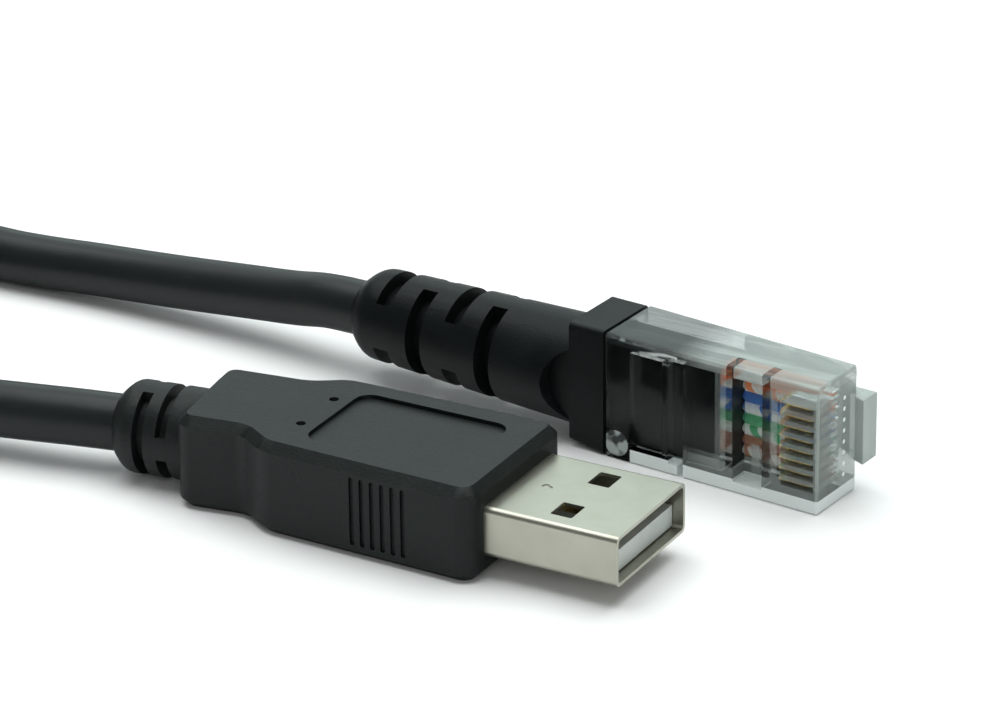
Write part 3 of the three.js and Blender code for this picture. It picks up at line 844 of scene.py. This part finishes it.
@dataclass
class Studio:
    """The pale floor, the soft lights and the camera at the photograph's angle.

    Attributes:
        azimuth: The camera's direction from the object, in degrees.
        elevation: Its height above the horizon, in degrees.
        roll: Its roll, in degrees.
        distance: Its distance to the aim point, in millimetres.
        aim: The point on the floor in the middle of the picture, in millimetres.
        lens: Its focal length on a sensor 36 mm wide.
        room: The world's strength.
        lit: The point that the lamps face, in metres.
        lamps: Each lamp's name, place and sides in metres, power in watts and colour.
    """

    azimuth: float = 29.416
    elevation: float = 24.418
    roll: float = -0.684
    distance: float = 449.53
    aim: Point = (-10.98, 21.89, 0.0)
    lens: float = 180.0
    room: float = 0.22
    lit: Point = (-0.02, 0.0, 0.0)
    lamps: tuple[tuple[str, Point, tuple[float, float], float, Point], ...] = (
        ("overhead box", (-0.1, 0.15, 0.9), (1.2, 1.0), 12.0, (0.95, 1.0, 0.99)),
        ("front box", (0.5, -0.8, 0.6), (0.7, 0.5), 1.2, (1.0, 1.0, 1.0)),
        ("back box", (-0.45, 0.78, 0.42), (1.1, 0.5), 2.3, (0.84, 1.0, 0.98)),
    )

    def camera(self) -> None:
        """Stands the camera."""
        a, e = math.radians(self.azimuth), math.radians(self.elevation)
        back = Vector((math.sin(a) * math.cos(e), -math.cos(a) * math.cos(e), math.sin(e)))
        data = bpy.data.cameras.new("camera")
        data.lens, data.sensor_width = self.lens, 36.0
        data.clip_start, data.clip_end = 0.01, 20.0
        camera = stand("camera", data)
        camera.rotation_mode = "QUATERNION"
        camera.location = (Vector(self.aim) + back * self.distance) * MM
        turn = Quaternion((0, 0, 1), math.radians(self.roll))
        camera.rotation_quaternion = (-back).to_track_quat("-Z", "Y") @ turn
        bpy.context.scene.camera = camera

    def floor(self) -> None:
        """Lays the floor."""
        bpy.ops.mesh.primitive_plane_add(size=6.0, location=(0, 0, 0))
        floor = bpy.context.object
        floor.name = "floor"
        paint = Paint("floor paper")
        mottle = paint.noise(120.0, 2.0, 0.5)
        floor.data.materials.append(paint.finish(
            Base_Color=paint.mix(mottle, (0.93, 0.93, 0.93), (0.95, 0.95, 0.95)),
            Roughness=0.9,
            Specular_IOR_Level=0.1,
        ))

    def light(self) -> None:
        """Hangs the soft boxes and sets the world."""
        world = bpy.data.worlds.new("room")
        world.use_nodes = True
        background = world.node_tree.nodes["Background"]
        background.inputs["Color"].default_value = (1, 1, 1, 1)
        background.inputs["Strength"].default_value = self.room
        bpy.context.scene.world = world
        for name, place, size, power, colour in self.lamps:
            data = bpy.data.lights.new(name, "AREA")
            data.shape = "RECTANGLE"
            data.size, data.size_y = size
            data.energy, data.color = power, colour
            lamp = stand(name, data)
            lamp.location = place
            lamp.rotation_euler = (Vector(self.lit) - Vector(place)).to_track_quat("-Z", "Y").to_euler()
        bpy.context.scene.view_settings.view_transform = "Standard"

    def build(self) -> None:
        """Sets up the whole studio."""
        self.camera()
        self.floor()
        self.light()


# Cord


@dataclass
class Cord:
    """The cord: out of the flat plug, round the coil and into the boot.

    Attributes:
        diameter: Its diameter in millimetres.
        length: Its length in millimetres; not used.
        flat_run: Its middle from the flat plug's relief to the coil, from the flat plug's tip.
        onto_coil: Where it runs on to the coil.
        coil_middle: The coil's middle, from the flat plug's tip.
        low: The height of the lower layer's middle.
        high: The height of the upper layer's middle.
        start_angle: Where the coil starts, in degrees from +X.
        turned: The angle that the coil turns through, in degrees.
        step: The angle between two of its points, in degrees.
        radius_stages: Its changes of radius: the angles where each starts and ends, and the
            radius before and after.
        fall: The angles where it starts and ends its fall to the lower layer.
        off_coil: Where it leaves the coil.
        boot_run: Its middle from the coil to the boot.
    """

    diameter: float = 5.0
    length: float = 850.0
    flat_run: tuple[Point, ...] = (
        (-49.959, -2.018, 4.25), (-54, -2.78, 4.2), (-57.5, -3.42, 4.1), (-61.4, -3.95, 3.9),
        (-65.4, -4.8, 3.8), (-70, -5.9, 4.0), (-75.5, -7.3, 4.7), (-81, -8.95, 5.8), (-87.4, -11.4, 7.4))
    onto_coil: tuple[Point, ...] = ((-93.3, -13.85, 8.3),)
    coil_middle: tuple[float, float] = (-116.5, 8.0)
    low: float = 3.4
    high: float = 8.4
    start_angle: float = -55.0
    turned: float = 1685.0
    step: float = 20.0
    radius_stages: tuple[tuple[float, float, float, float], ...] = (
        (170.0, 290.0, 30.0, 25.0), (330.0, 460.0, 25.0, 20.0), (965.0, 1090.0, 20.0, 25.0),
        (1325.0, 1445.0, 25.0, 30.0))
    fall: tuple[float, float] = (650.0, 770.0)
    off_coil: tuple[Point, ...] = ((-96.8, 31.25, 3.25), (-92.0, 28.85, 2.95))
    boot_run: tuple[Point, ...] = (
        (-87.7, 27.4, 2.7), (-82.4, 26.9, 2.6), (-77, 27.1, 2.65), (-71.9, 27.3, 2.9), (-66, 27.3, 3.25),
        (-60.8, 27.1, 3.7), (-55, 26.8, 4.3), (-49.7, 26.3, 4.95), (-46, 25.85, 5.6), (-41.719, 25.419, 5.84))

    def _eased(self, angle: float, start: float, end: float) -> float:
        """How far a change that runs between two angles has come, from 0 to 1."""
        t = min(1.0, max(0.0, (angle - start) / (end - start)))
        return t * t * (3 - 2 * t)

    def _coil(self) -> list[Point]:
        """The coil's points."""
        points = []
        steps = round(self.turned / self.step)
        for step in range(steps + 1):
            angle = self.turned * step / steps
            radius = self.radius_stages[0][2]
            for start, end, before, after in self.radius_stages:
                radius += (after - before) * self._eased(angle, start, end)
            height = self.high + (self.low - self.high) * self._eased(angle, *self.fall)
            turn = math.radians(self.start_angle - angle)
            x, y = self.coil_middle
            points.append((x + radius * math.cos(turn), y + radius * math.sin(turn), height))
        return points

    def route(self) -> list[Vector]:
        """The whole route, in metres in the object's frame."""
        points = [*self.flat_run, *self.onto_coil, *self._coil(), *self.off_coil, *self.boot_run]
        return [(TIP + Vector(p)) * MM for p in points]

    def build(self) -> Piece:
        """Lays the cord."""
        points = self.route()
        data = bpy.data.curves.new("cord", "CURVE")
        data.dimensions = "3D"
        data.bevel_depth = self.diameter / 2 * MM
        data.bevel_resolution = 6
        data.resolution_u = 6
        data.use_fill_caps = True
        spline = data.splines.new("BEZIER")
        spline.bezier_points.add(len(points) - 1)
        for handle, point in zip(spline.bezier_points, points):
            handle.co = point
            handle.handle_left_type = handle.handle_right_type = "AUTO"
        cord = stand("cord", data)
        data.materials.append(CordJacket().make())
        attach(cord, "root")
        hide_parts("cord_usb_run", "cord_coil", "cord_rj45_run")
        LOG.info("cord: %.0f mm", sum((b - a).length for a, b in zip(points, points[1:])) / MM)
        return cord

    def declare(self, tie: Piece) -> None:
        """Takes the route's first point, and does nothing with it."""
        tuple(self.route()[0])


@dataclass
class Tie:
    """The strap round the coil's turns.

    Attributes:
        middle: The coil's middle, from the flat plug's tip.
        inner: The inner radius of the turns.
        outer: The outer radius of the turns.
        low: The turns' lowest height.
        high: The turns' highest height.
        width: The strap's width.
        thickness: Its thickness.
        gap: Its gap to the turns.
        corner: The radius of its outer corners.
        inner_corner: The radius of its inner corners.
    """

    middle: tuple[float, float] = (-116.5, 8.0)
    inner: float = 17.5
    outer: float = 32.5
    low: float = 0.9
    high: float = 10.9
    width: float = 9.0
    thickness: float = 0.6
    gap: float = 0.3
    corner: float = 1.8
    inner_corner: float = 1.2

    def build(self) -> Piece:
        """Wraps the strap: one band round the coil's turns."""
        bulge = self.inner - math.sqrt(self.inner ** 2 - (self.width / 2) ** 2)
        x0 = self.middle[0] - self.outer - self.gap
        x1 = self.middle[0] - self.inner + bulge + self.gap
        y0, y1 = self.middle[1] - self.width / 2, self.middle[1] + self.width / 2
        top, t = self.high + self.gap, self.thickness
        band = BENCH.upright(
            (x0 - t, y0, 0), (x1 + t, y1, top + t), self.corner, Along.Y, 4, "coil_tie_strap")
        hole = BENCH.upright(
            (x0, y0 - PAST, self.low - self.gap), (x1, y1 + PAST, top), self.inner_corner, Along.Y, 4)
        BENCH.combine(band, [hole])
        BENCH.soften(band, 0.15)
        return BENCH.finish(band, Matrix.Translation(TIP), HookTape().make(), Slot.TIE, ["coil_tie"])


# Flat plug


@dataclass
class FlatPlugMoulding:
    """The flat plug's black moulding: grip, shoulders, neck and strain relief.

    Its frame has the middle of the shell's mouth at the origin.
    """

    front: float = -12.3
    length: float = 20.4
    height: float = 8.5
    width_front: float = 16.0
    width_rear: float = 15.0
    front_corner: float = 1.8
    edge: float = 0.8
    shoulder: float = 2.9
    shoulder_corner: float = 1.0
    waist_corner: float = 0.8
    neck_width: float = 11.4
    neck_length: float = 7.2
    neck_corner: float = 1.6
    neck_lean: float = 8.0
    panel_length: float = 14.4
    panel_width: float = 10.1
    panel_setback: float = 3.4
    panel_depth: float = 0.35
    panel_corner: float = 1.4
    vent_diameter: float = 0.85
    vent_depth: float = 1.2
    vent_spacing: float = 5.4
    vent_setback: float = 1.5
    grooves: int = 6
    groove_pitch: float = 0.99
    groove_width: float = 0.45
    groove_depth: float = 0.25
    groove_height: float = 6.2
    groove_setback: float = 6.6
    groove_corner: float = 0.18
    relief_length: float = 7.0
    relief_diameter: float = 8.1
    relief_end: float = 6.2
    relief_taper: float = 1.4
    relief_root: float = 2.5
    relief_step: float = 0.6
    slot: float = 1.0
    first_slot: float = 2.0
    slot_pitch: float = 2.15
    slot_arcs: tuple[tuple[tuple[float, float], ...], ...] = (
        ((90, 150), (270, 150)), ((0, 146), (180, 146)))
    core: float = 5.9

    def grip(self) -> Piece:
        """The grip, shoulders and neck, drawn back from a block in three steps."""
        top, rear = self.height / 2, self.front - self.length
        waist = rear - self.shoulder
        half, back_half, neck_half = self.width_front / 2, self.width_rear / 2, self.neck_width / 2
        lean = math.radians(self.neck_lean)
        end = (waist - self.neck_length * math.cos(lean), -self.neck_length * math.sin(lean), 0)
        grip = BENCH.block("usb_moulding", (rear, -half, -top), (self.front, half, top))
        BENCH.pick_faces(grip, lambda c, n: n.x < -0.9)
        bpy.ops.transform.resize(value=(1, back_half / half, 1), center_override=(rear, 0, 0))
        bpy.ops.mesh.extrude_region_move(TRANSFORM_OT_translate={"value": (-self.shoulder, 0, 0)})
        bpy.ops.transform.resize(value=(1, neck_half / back_half, 1), center_override=(waist, 0, 0))
        bpy.ops.mesh.extrude_region_move(TRANSFORM_OT_translate={"value": (end[0] - waist, end[1], 0)})
        bpy.ops.transform.rotate(value=-lean, orient_axis="Z", center_override=end)
        bpy.ops.mesh.select_all(action="SELECT")
        bpy.ops.mesh.dissolve_limited(angle_limit=math.radians(0.5))
        bpy.ops.object.mode_set(mode="OBJECT")
        corners = ((self.front, self.front_corner), (rear, self.shoulder_corner), (waist, self.waist_corner))
        for place, radius in corners:
            BENCH.bevel(grip, lambda a, b: _runs(a, b, Along.Z) and abs(a.x - place) < NEAR, radius, 6)
        behind = waist - self.neck_length / 2
        BENCH.bevel(grip, lambda a, b: _runs(a, b, Along.Z) and a.x < behind, self.neck_corner, 6)
        BENCH.bevel(grip, lambda a, b: abs(a.z - b.z) < NEAR and abs(abs(a.z) - top) < NEAR, self.edge, 1)
        return grip

    def relief(self) -> Piece:
        """The slotted relief, leaned as the cord has set it."""
        end = -self.neck_length - self.relief_length
        wide, narrow = self.relief_diameter / 2, self.relief_end / 2
        profile = rounded_end(end, narrow, wide, self.relief_taper, 4)
        profile += [
            (-self.neck_length - self.relief_step, wide), (-self.neck_length + self.relief_root, wide)]
        relief = BENCH.turned("usb_relief", profile)
        tools = []
        for place, arcs in enumerate(self.slot_arcs):
            at = -self.neck_length - self.first_slot - place * self.slot_pitch
            tools += BENCH.slots(at, self.slot, self.core / 2, wide + PAST, arcs)
        BENCH.combine(relief, tools)
        waist = self.front - self.length - self.shoulder
        lean = Matrix.Rotation(math.radians(self.neck_lean), 4, "Z")
        BENCH.move(relief, Matrix.Translation((waist, 0, 0)) @ lean)
        return relief

    def recesses(self) -> list[Piece]:
        """The tools for the panel, the two vents and the finger grooves."""
        top = self.height / 2
        front = self.front - self.panel_setback
        rear = front - self.panel_length
        half = self.panel_width / 2
        tools = [BENCH.upright(
            (rear, -half, top - self.panel_depth), (front, half, top + PAST), self.panel_corner)]
        for y in (-self.vent_spacing / 2, self.vent_spacing / 2):
            x = rear - self.vent_setback
            tools.append(BENCH.rod(
                "vent", (x, y, top - self.vent_depth), (x, y, top + PAST), self.vent_diameter / 2, 20))
        for i in range(self.grooves):
            x = self.front - self.groove_setback - i * self.groove_pitch
            along = (self.front - x) / self.length
            side = (self.width_front + (self.width_rear - self.width_front) * along) / 2
            for facing in (-1, 1):
                y0, y1 = sorted((facing * (side - self.groove_depth), facing * (side + PAST)))
                tools.append(BENCH.upright(
                    (x - self.groove_width / 2, y0, -self.groove_height / 2),
                    (x + self.groove_width / 2, y1, self.groove_height / 2),
                    self.groove_corner, Along.Y, 2))
        return tools

    def build(self, material: Material) -> Piece:
        """Makes the whole moulding."""
        moulding = self.grip()
        BENCH.combine(moulding, [self.relief()], join=True)
        BENCH.combine(moulding, self.recesses())
        BENCH.soften(moulding, 0.1)
        return BENCH.finish(moulding, FLAT_PLUG, material, Slot.GRIP, ["usb_overmould"])


@dataclass
class SteelShell:
    """The flat plug's pressed shell, with two windows in each wide face and a folded seam below.

    The dimple in its top is a few shallow rounds: (along, across, radius) of each.
    """

    length: float = 12.3
    width: float = 12.0
    height: float = 4.5
    wall: float = 0.3
    corner: float = 0.55
    window_length: float = 2.0
    window_width: float = 2.4
    window_offset: float = 3.2
    window_setback: float = 5.0
    window_corner: float = 0.15
    seam_width: float = 0.08
    seam_depth: float = 0.12
    dimple_depth: float = 0.09
    dimple: tuple[Point, ...] = ((-9.72, -0.07, 0.34), (-9.30, -0.19, 0.26))

    def build(self, material: Material) -> Piece:
        """Makes the shell."""
        half, top, wall = self.width / 2, self.height / 2, self.wall
        shell = BENCH.upright(
            (-self.length, -half, -top), (0, half, top), self.corner, Along.X, 5, "usb_steel")
        bore = BENCH.upright(
            (-self.length - PAST, -half + wall, -top + wall), (PAST, half - wall, top - wall),
            self.corner - wall + 0.1, Along.X, 4)
        tools = [bore]
        for y in (-self.window_offset, self.window_offset):
            tools.append(BENCH.upright(
                (-self.window_setback - self.window_length, y - self.window_width / 2, -top - PAST),
                (-self.window_setback, y + self.window_width / 2, top + PAST),
                self.window_corner, Along.Z, 2))
        seam = self.seam_width / 2
        tools.append(BENCH.block(
            "seam", (-self.length - PAST, -seam, -top - PAST), (PAST, seam, -top + self.seam_depth)))
        for along, across, radius in self.dimple:
            tools.append(BENCH.rod(
                "dimple", (along, across, top - self.dimple_depth), (along, across, top + PAST), radius, 20))
        BENCH.combine(shell, tools)
        BENCH.soften(shell, 0.05)
        return BENCH.finish(shell, FLAT_PLUG, material, Slot.SHELL, ["usb_shell"])


# Modular plug


@dataclass
class ClearBody:
    """The modular plug's clear body with its latch.

    Its frame has the near lower corner of the nose at the origin: the contact face is
    y = 0, the latch is on the far side, and the body runs back along -X.
    Each of the latch's steps is (along, outwards, the share of its width that is left).
    The notches are the wire clamp, the jacket clamp, its hinge and a cut in the foot, by
    their two corners.
    """

    width: float = 11.68
    length: float = 21.4
    depth_front: float = 6.3
    depth_rear: float = 7.1
    edge: float = 0.3
    wall: float = 1.0
    hall: float = 11.2
    pitch: float = 1.016
    wires: int = 8
    wire_diameter: float = 0.92
    wire_depth: float = 3.9
    tunnel_end: float = 0.9
    blade_length: float = 3.0
    blade_thickness: float = 0.35
    blade_setback: float = 0.55
    slip: float = 0.12
    latch_width: float = 6.0
    latch_ahead: float = 1.1
    latch_base: float = 2.0
    latch_rise: float = 1.5
    latch_sunk: float = 0.8
    latch_root: float = 0.48
    latch_steps: tuple[Point, ...] = ((-6.0, 1.5, 1.0), (-0.9, 0.2, 0.53), (-5.1, 1.1, 1.0))
    hall_corner: float = 0.5
    notches: tuple[tuple[Point, Point], ...] = (
        ((-8.4, -PAST, 1.0), (-5.5, 1.9, 10.68)),
        ((-18.8, -PAST, 1.3), (-15.5, 0.7, 10.38)),
        ((-14.9, -PAST, 1.0), (-13.4, 0.8, 10.68)),
        ((-14.0, -PAST, -PAST), (-13.4, 1.2, 1.2)),
    )

    def wire_height(self, place: int) -> float:
        """The height of one wire's middle, counted from the top."""
        return self.width / 2 + self.pitch * ((self.wires - 1) / 2 - place)

    def latch(self) -> Piece:
        """The flexing latch, from a block drawn back in three steps."""
        middle, back = self.width / 2, self.depth_front
        half, top = self.latch_width / 2, back + self.latch_rise
        arm = BENCH.block(
            "latch", (-self.latch_base, back - self.latch_sunk, middle - half),
            (self.latch_ahead, top, middle + half))
        BENCH.pick_faces(arm, lambda c, n: n.x < -0.9)
        bpy.ops.transform.resize(
            value=(1, self.latch_root, 1), center_override=(-self.latch_base, top, middle))
        for along, rise, share in self.latch_steps:
            bpy.ops.mesh.extrude_region_move(TRANSFORM_OT_translate={"value": (along, rise, 0)})
            bpy.ops.transform.resize(value=(1, 1, share), center_override=(0, 0, middle))
        bpy.ops.object.mode_set(mode="OBJECT")
        BENCH.soften(arm, 0.12)
        return arm

    def hollows(self) -> list[Piece]:
        """The tools for the rear hall, the wire tunnel, the blade slots and the notches."""
        middle = self.width / 2
        front = -self.length + self.hall
        tools = [BENCH.upright(
            (-self.length - PAST, self.wall, self.wall),
            (front, self.depth_front - self.wall, self.width - self.wall), self.hall_corner, Along.X, 3)]
        reach = self.wire_diameter / 2 + self.slip
        spread = self.pitch * (self.wires - 1) / 2
        tools.append(BENCH.block(
            "tunnel", (front - 0.2, self.wire_depth - reach, middle - spread - reach),
            (-self.tunnel_end, self.wire_depth + reach, middle + spread + reach)))
        for i in range(self.wires):
            half, z = self.blade_thickness / 2 + self.slip, self.wire_height(i)
            tools.append(BENCH.block(
                "blade slot", (-self.blade_setback - self.blade_length - self.slip, -PAST, z - half),
                (-self.blade_setback + self.slip, self.wire_depth, z + half)))
        tools += [BENCH.block("notch", low, high) for low, high in self.notches]
        return tools

    def build(self, material: Material) -> Piece:
        """Makes the body."""
        body = BENCH.block("rj45_body", (-self.length, 0, 0), (0, self.depth_front, self.width))
        BENCH.pick_edges(body, lambda a, b: _runs(a, b, Along.Z) and a.x < -1 and a.y > 1)
        bpy.ops.transform.translate(value=(0, self.depth_rear - self.depth_front, 0))
        bpy.ops.object.mode_set(mode="OBJECT")
        BENCH.bevel(body, lambda a, b: True, self.edge, 3)
        BENCH.combine(body, [self.latch()], join=True)
        BENCH.combine(body, self.hollows())
        BENCH.soften(body, 0.06)
        return BENCH.finish(body, MODULAR_PLUG, material, Slot.CLEAR, ["rj45_housing"])


@dataclass
class Wires:
    """The eight wires in the clear body.

    Attributes:
        body: The clear body.
        palette: Each wire's name, colour and stripe, from the top.
        slots: Each wire's slot in the record; not used.
        tip_length: The length of the chamfer at a wire's end.
        tip_share: The share of its radius that is left there.
    """

    body: ClearBody
    palette: tuple[tuple[str, Point, Optional[Point]], ...] = (
        ("orange", (0.90, 0.26, 0.10), None),
        ("white orange", (0.9, 0.88, 0.84), (0.90, 0.30, 0.13)),
        ("blue", (0.04, 0.15, 0.52), None),
        ("white blue", (0.88, 0.89, 0.9), (0.05, 0.18, 0.55)),
        ("green", (0.08, 0.42, 0.19), None),
        ("white green", (0.88, 0.9, 0.86), (0.10, 0.45, 0.21)),
        ("brown", (0.42, 0.18, 0.11), None),
        ("white brown", (0.9, 0.86, 0.82), (0.46, 0.22, 0.14)),
    )
    slots: tuple[str, ...] = (
        "wire_orange", "wire_white", "wire_blue", "wire_white", "wire_green", "wire_white",
        "wire_brown", "wire_white")
    tip_length: float = 0.15
    tip_share: float = 0.7

    def build(self) -> None:
        """Lays the wires."""
        body = self.body
        for i, (label, colour, band) in enumerate(self.palette):
            z, radius = body.wire_height(i), body.wire_diameter / 2
            back, tip = -body.length + body.hall, -body.tunnel_end - body.slip
            profile = [(back, radius), (tip - self.tip_length, radius), (tip, radius * self.tip_share)]
            wire = BENCH.turned(f"wire_{i + 1}", profile, 20)
            BENCH.move(wire, Matrix.Translation((0, body.wire_depth, z)))
            BENCH.finish(
                wire, MODULAR_PLUG, WireInsulation(f"wire {label}", colour, band).make(),
                Slot.WHITE_WIRE, [f"rj45_wire_{i + 1}"])


@dataclass
class Boot:
    """The modular plug's black boot, with the jacket's end inside the clear body."""

    body: ClearBody
    gap: float = 0.15
    collar_length: float = 3.5
    collar_edge: float = 0.45
    heel: float = 0.6
    barrel_front: float = 9.7
    barrel_rear: float = 8.3
    barrel_length: float = 23.7
    barrel_root: float = 0.4
    barrel_step: float = 1.4
    cheek: float = 3.55
    cheek_ahead: float = 1.3
    cheek_proud: float = 0.05
    end_diameter: float = 6.3
    taper: float = 1.8
    slot: float = 1.6
    slots: int = 4
    first_slot: float = 8.6
    slot_pitch: float = 3.75
    core: float = 5.9
    side_span: float = 146.0
    top_span: float = 104.0
    foot_span: float = 140.0
    filling_overlap: float = 0.5
    filling_gap: float = 0.3
    filling_corner: float = 0.4

    def barrel(self, rear: float) -> Piece:
        """The slotted barrel, on its own axis."""
        end = rear - self.barrel_length
        wide, narrow = self.barrel_rear / 2, self.end_diameter / 2
        bulge = self.barrel_front / 2
        profile = rounded_end(end, narrow, wide, self.taper, 5)
        profile += [(rear + self.barrel_root / 2, bulge), (rear + self.barrel_root, bulge - self.barrel_step)]
        barrel = BENCH.turned("barrel", profile)
        flat, cheek = self.body.depth_rear / 2 - self.cheek_proud, rear + self.cheek_ahead
        tools = [
            BENCH.rod("cheek", (cheek, side * flat, 0), (cheek, side * (bulge + PAST), 0), self.cheek, 48)
            for side in (-1, 1)]
        across = ((0, self.side_span), (180, self.side_span))
        upright = ((90, self.top_span), (270, self.foot_span))
        for i in range(self.slots):
            at = rear - self.first_slot - i * self.slot_pitch
            tools += BENCH.slots(
                at, self.slot, self.core / 2, bulge + PAST, across if i % 2 == 0 else upright)
        BENCH.combine(barrel, tools)
        BENCH.move(barrel, Matrix.Translation((0, self.body.depth_rear / 2, self.body.width / 2)))
        return barrel

    def build(self, material: Material) -> Piece:
        """Makes the boot."""
        body = self.body
        front = -body.length - self.gap
        rear = front - self.collar_length
        boot = BENCH.upright(
            (rear, 0, 0), (front, body.depth_rear, body.width), self.collar_edge, Along.X, 4)
        low = self.collar_edge + NEAR
        BENCH.pick_edges(boot, lambda a, b: max(a.x, b.x) < rear + NEAR and max(a.z, b.z) < low)
        bpy.ops.transform.translate(value=(0, 0, self.heel))
        bpy.ops.object.mode_set(mode="OBJECT")
        BENCH.combine(boot, [self.barrel(rear)], join=True)
        inset = body.wall + body.slip
        filling = BENCH.upright(
            (front - self.filling_overlap, inset, inset),
            (-body.length + body.hall - self.filling_gap, body.depth_front - inset, body.width - inset),
            self.filling_corner, Along.X, 3)
        BENCH.combine(boot, [filling], join=True)
        BENCH.soften(boot, 0.12)
        boot.name = "rj45_moulding"
        return BENCH.finish(boot, MODULAR_PLUG, material, Slot.BOOT, ["rj45_boot"])


def main() -> None:
    """Builds the studio and then each sub-assembly."""
    logging.basicConfig(level=logging.INFO, format="%(name)s: %(message)s")
    Studio().build()
    route = Cord()
    cord = route.build()
    route.declare(Tie().build())
    grip = MouldedVinyl("grip vinyl", (0.0035, 0.0065, 0.006), (0.011, 0.0165, 0.0155), roughness=0.5)
    FlatPlugMoulding().build(grip.make())
    SteelShell().build(NickelPlate().make())
    body = ClearBody()
    boot = MouldedVinyl(
        "boot vinyl", (0.004, 0.006, 0.006), (0.010, 0.014, 0.014), roughness=0.42, grain=0.16,
        depth=0.02, gloss=0.13)
    Boot(body).build(boot.make())
    body.build(ClearResin().make())
    Wires(body).build()
    gold = GoldPlate().make()
    redress([f"usb_contact_{i}" for i in range(1, 5)], gold)
    redress([f"rj45_contact_{i}" for i in range(1, 9)], gold)
    redress(["usb_insulator"], PaleResin().make())


if __name__ == "__main__":
    main()
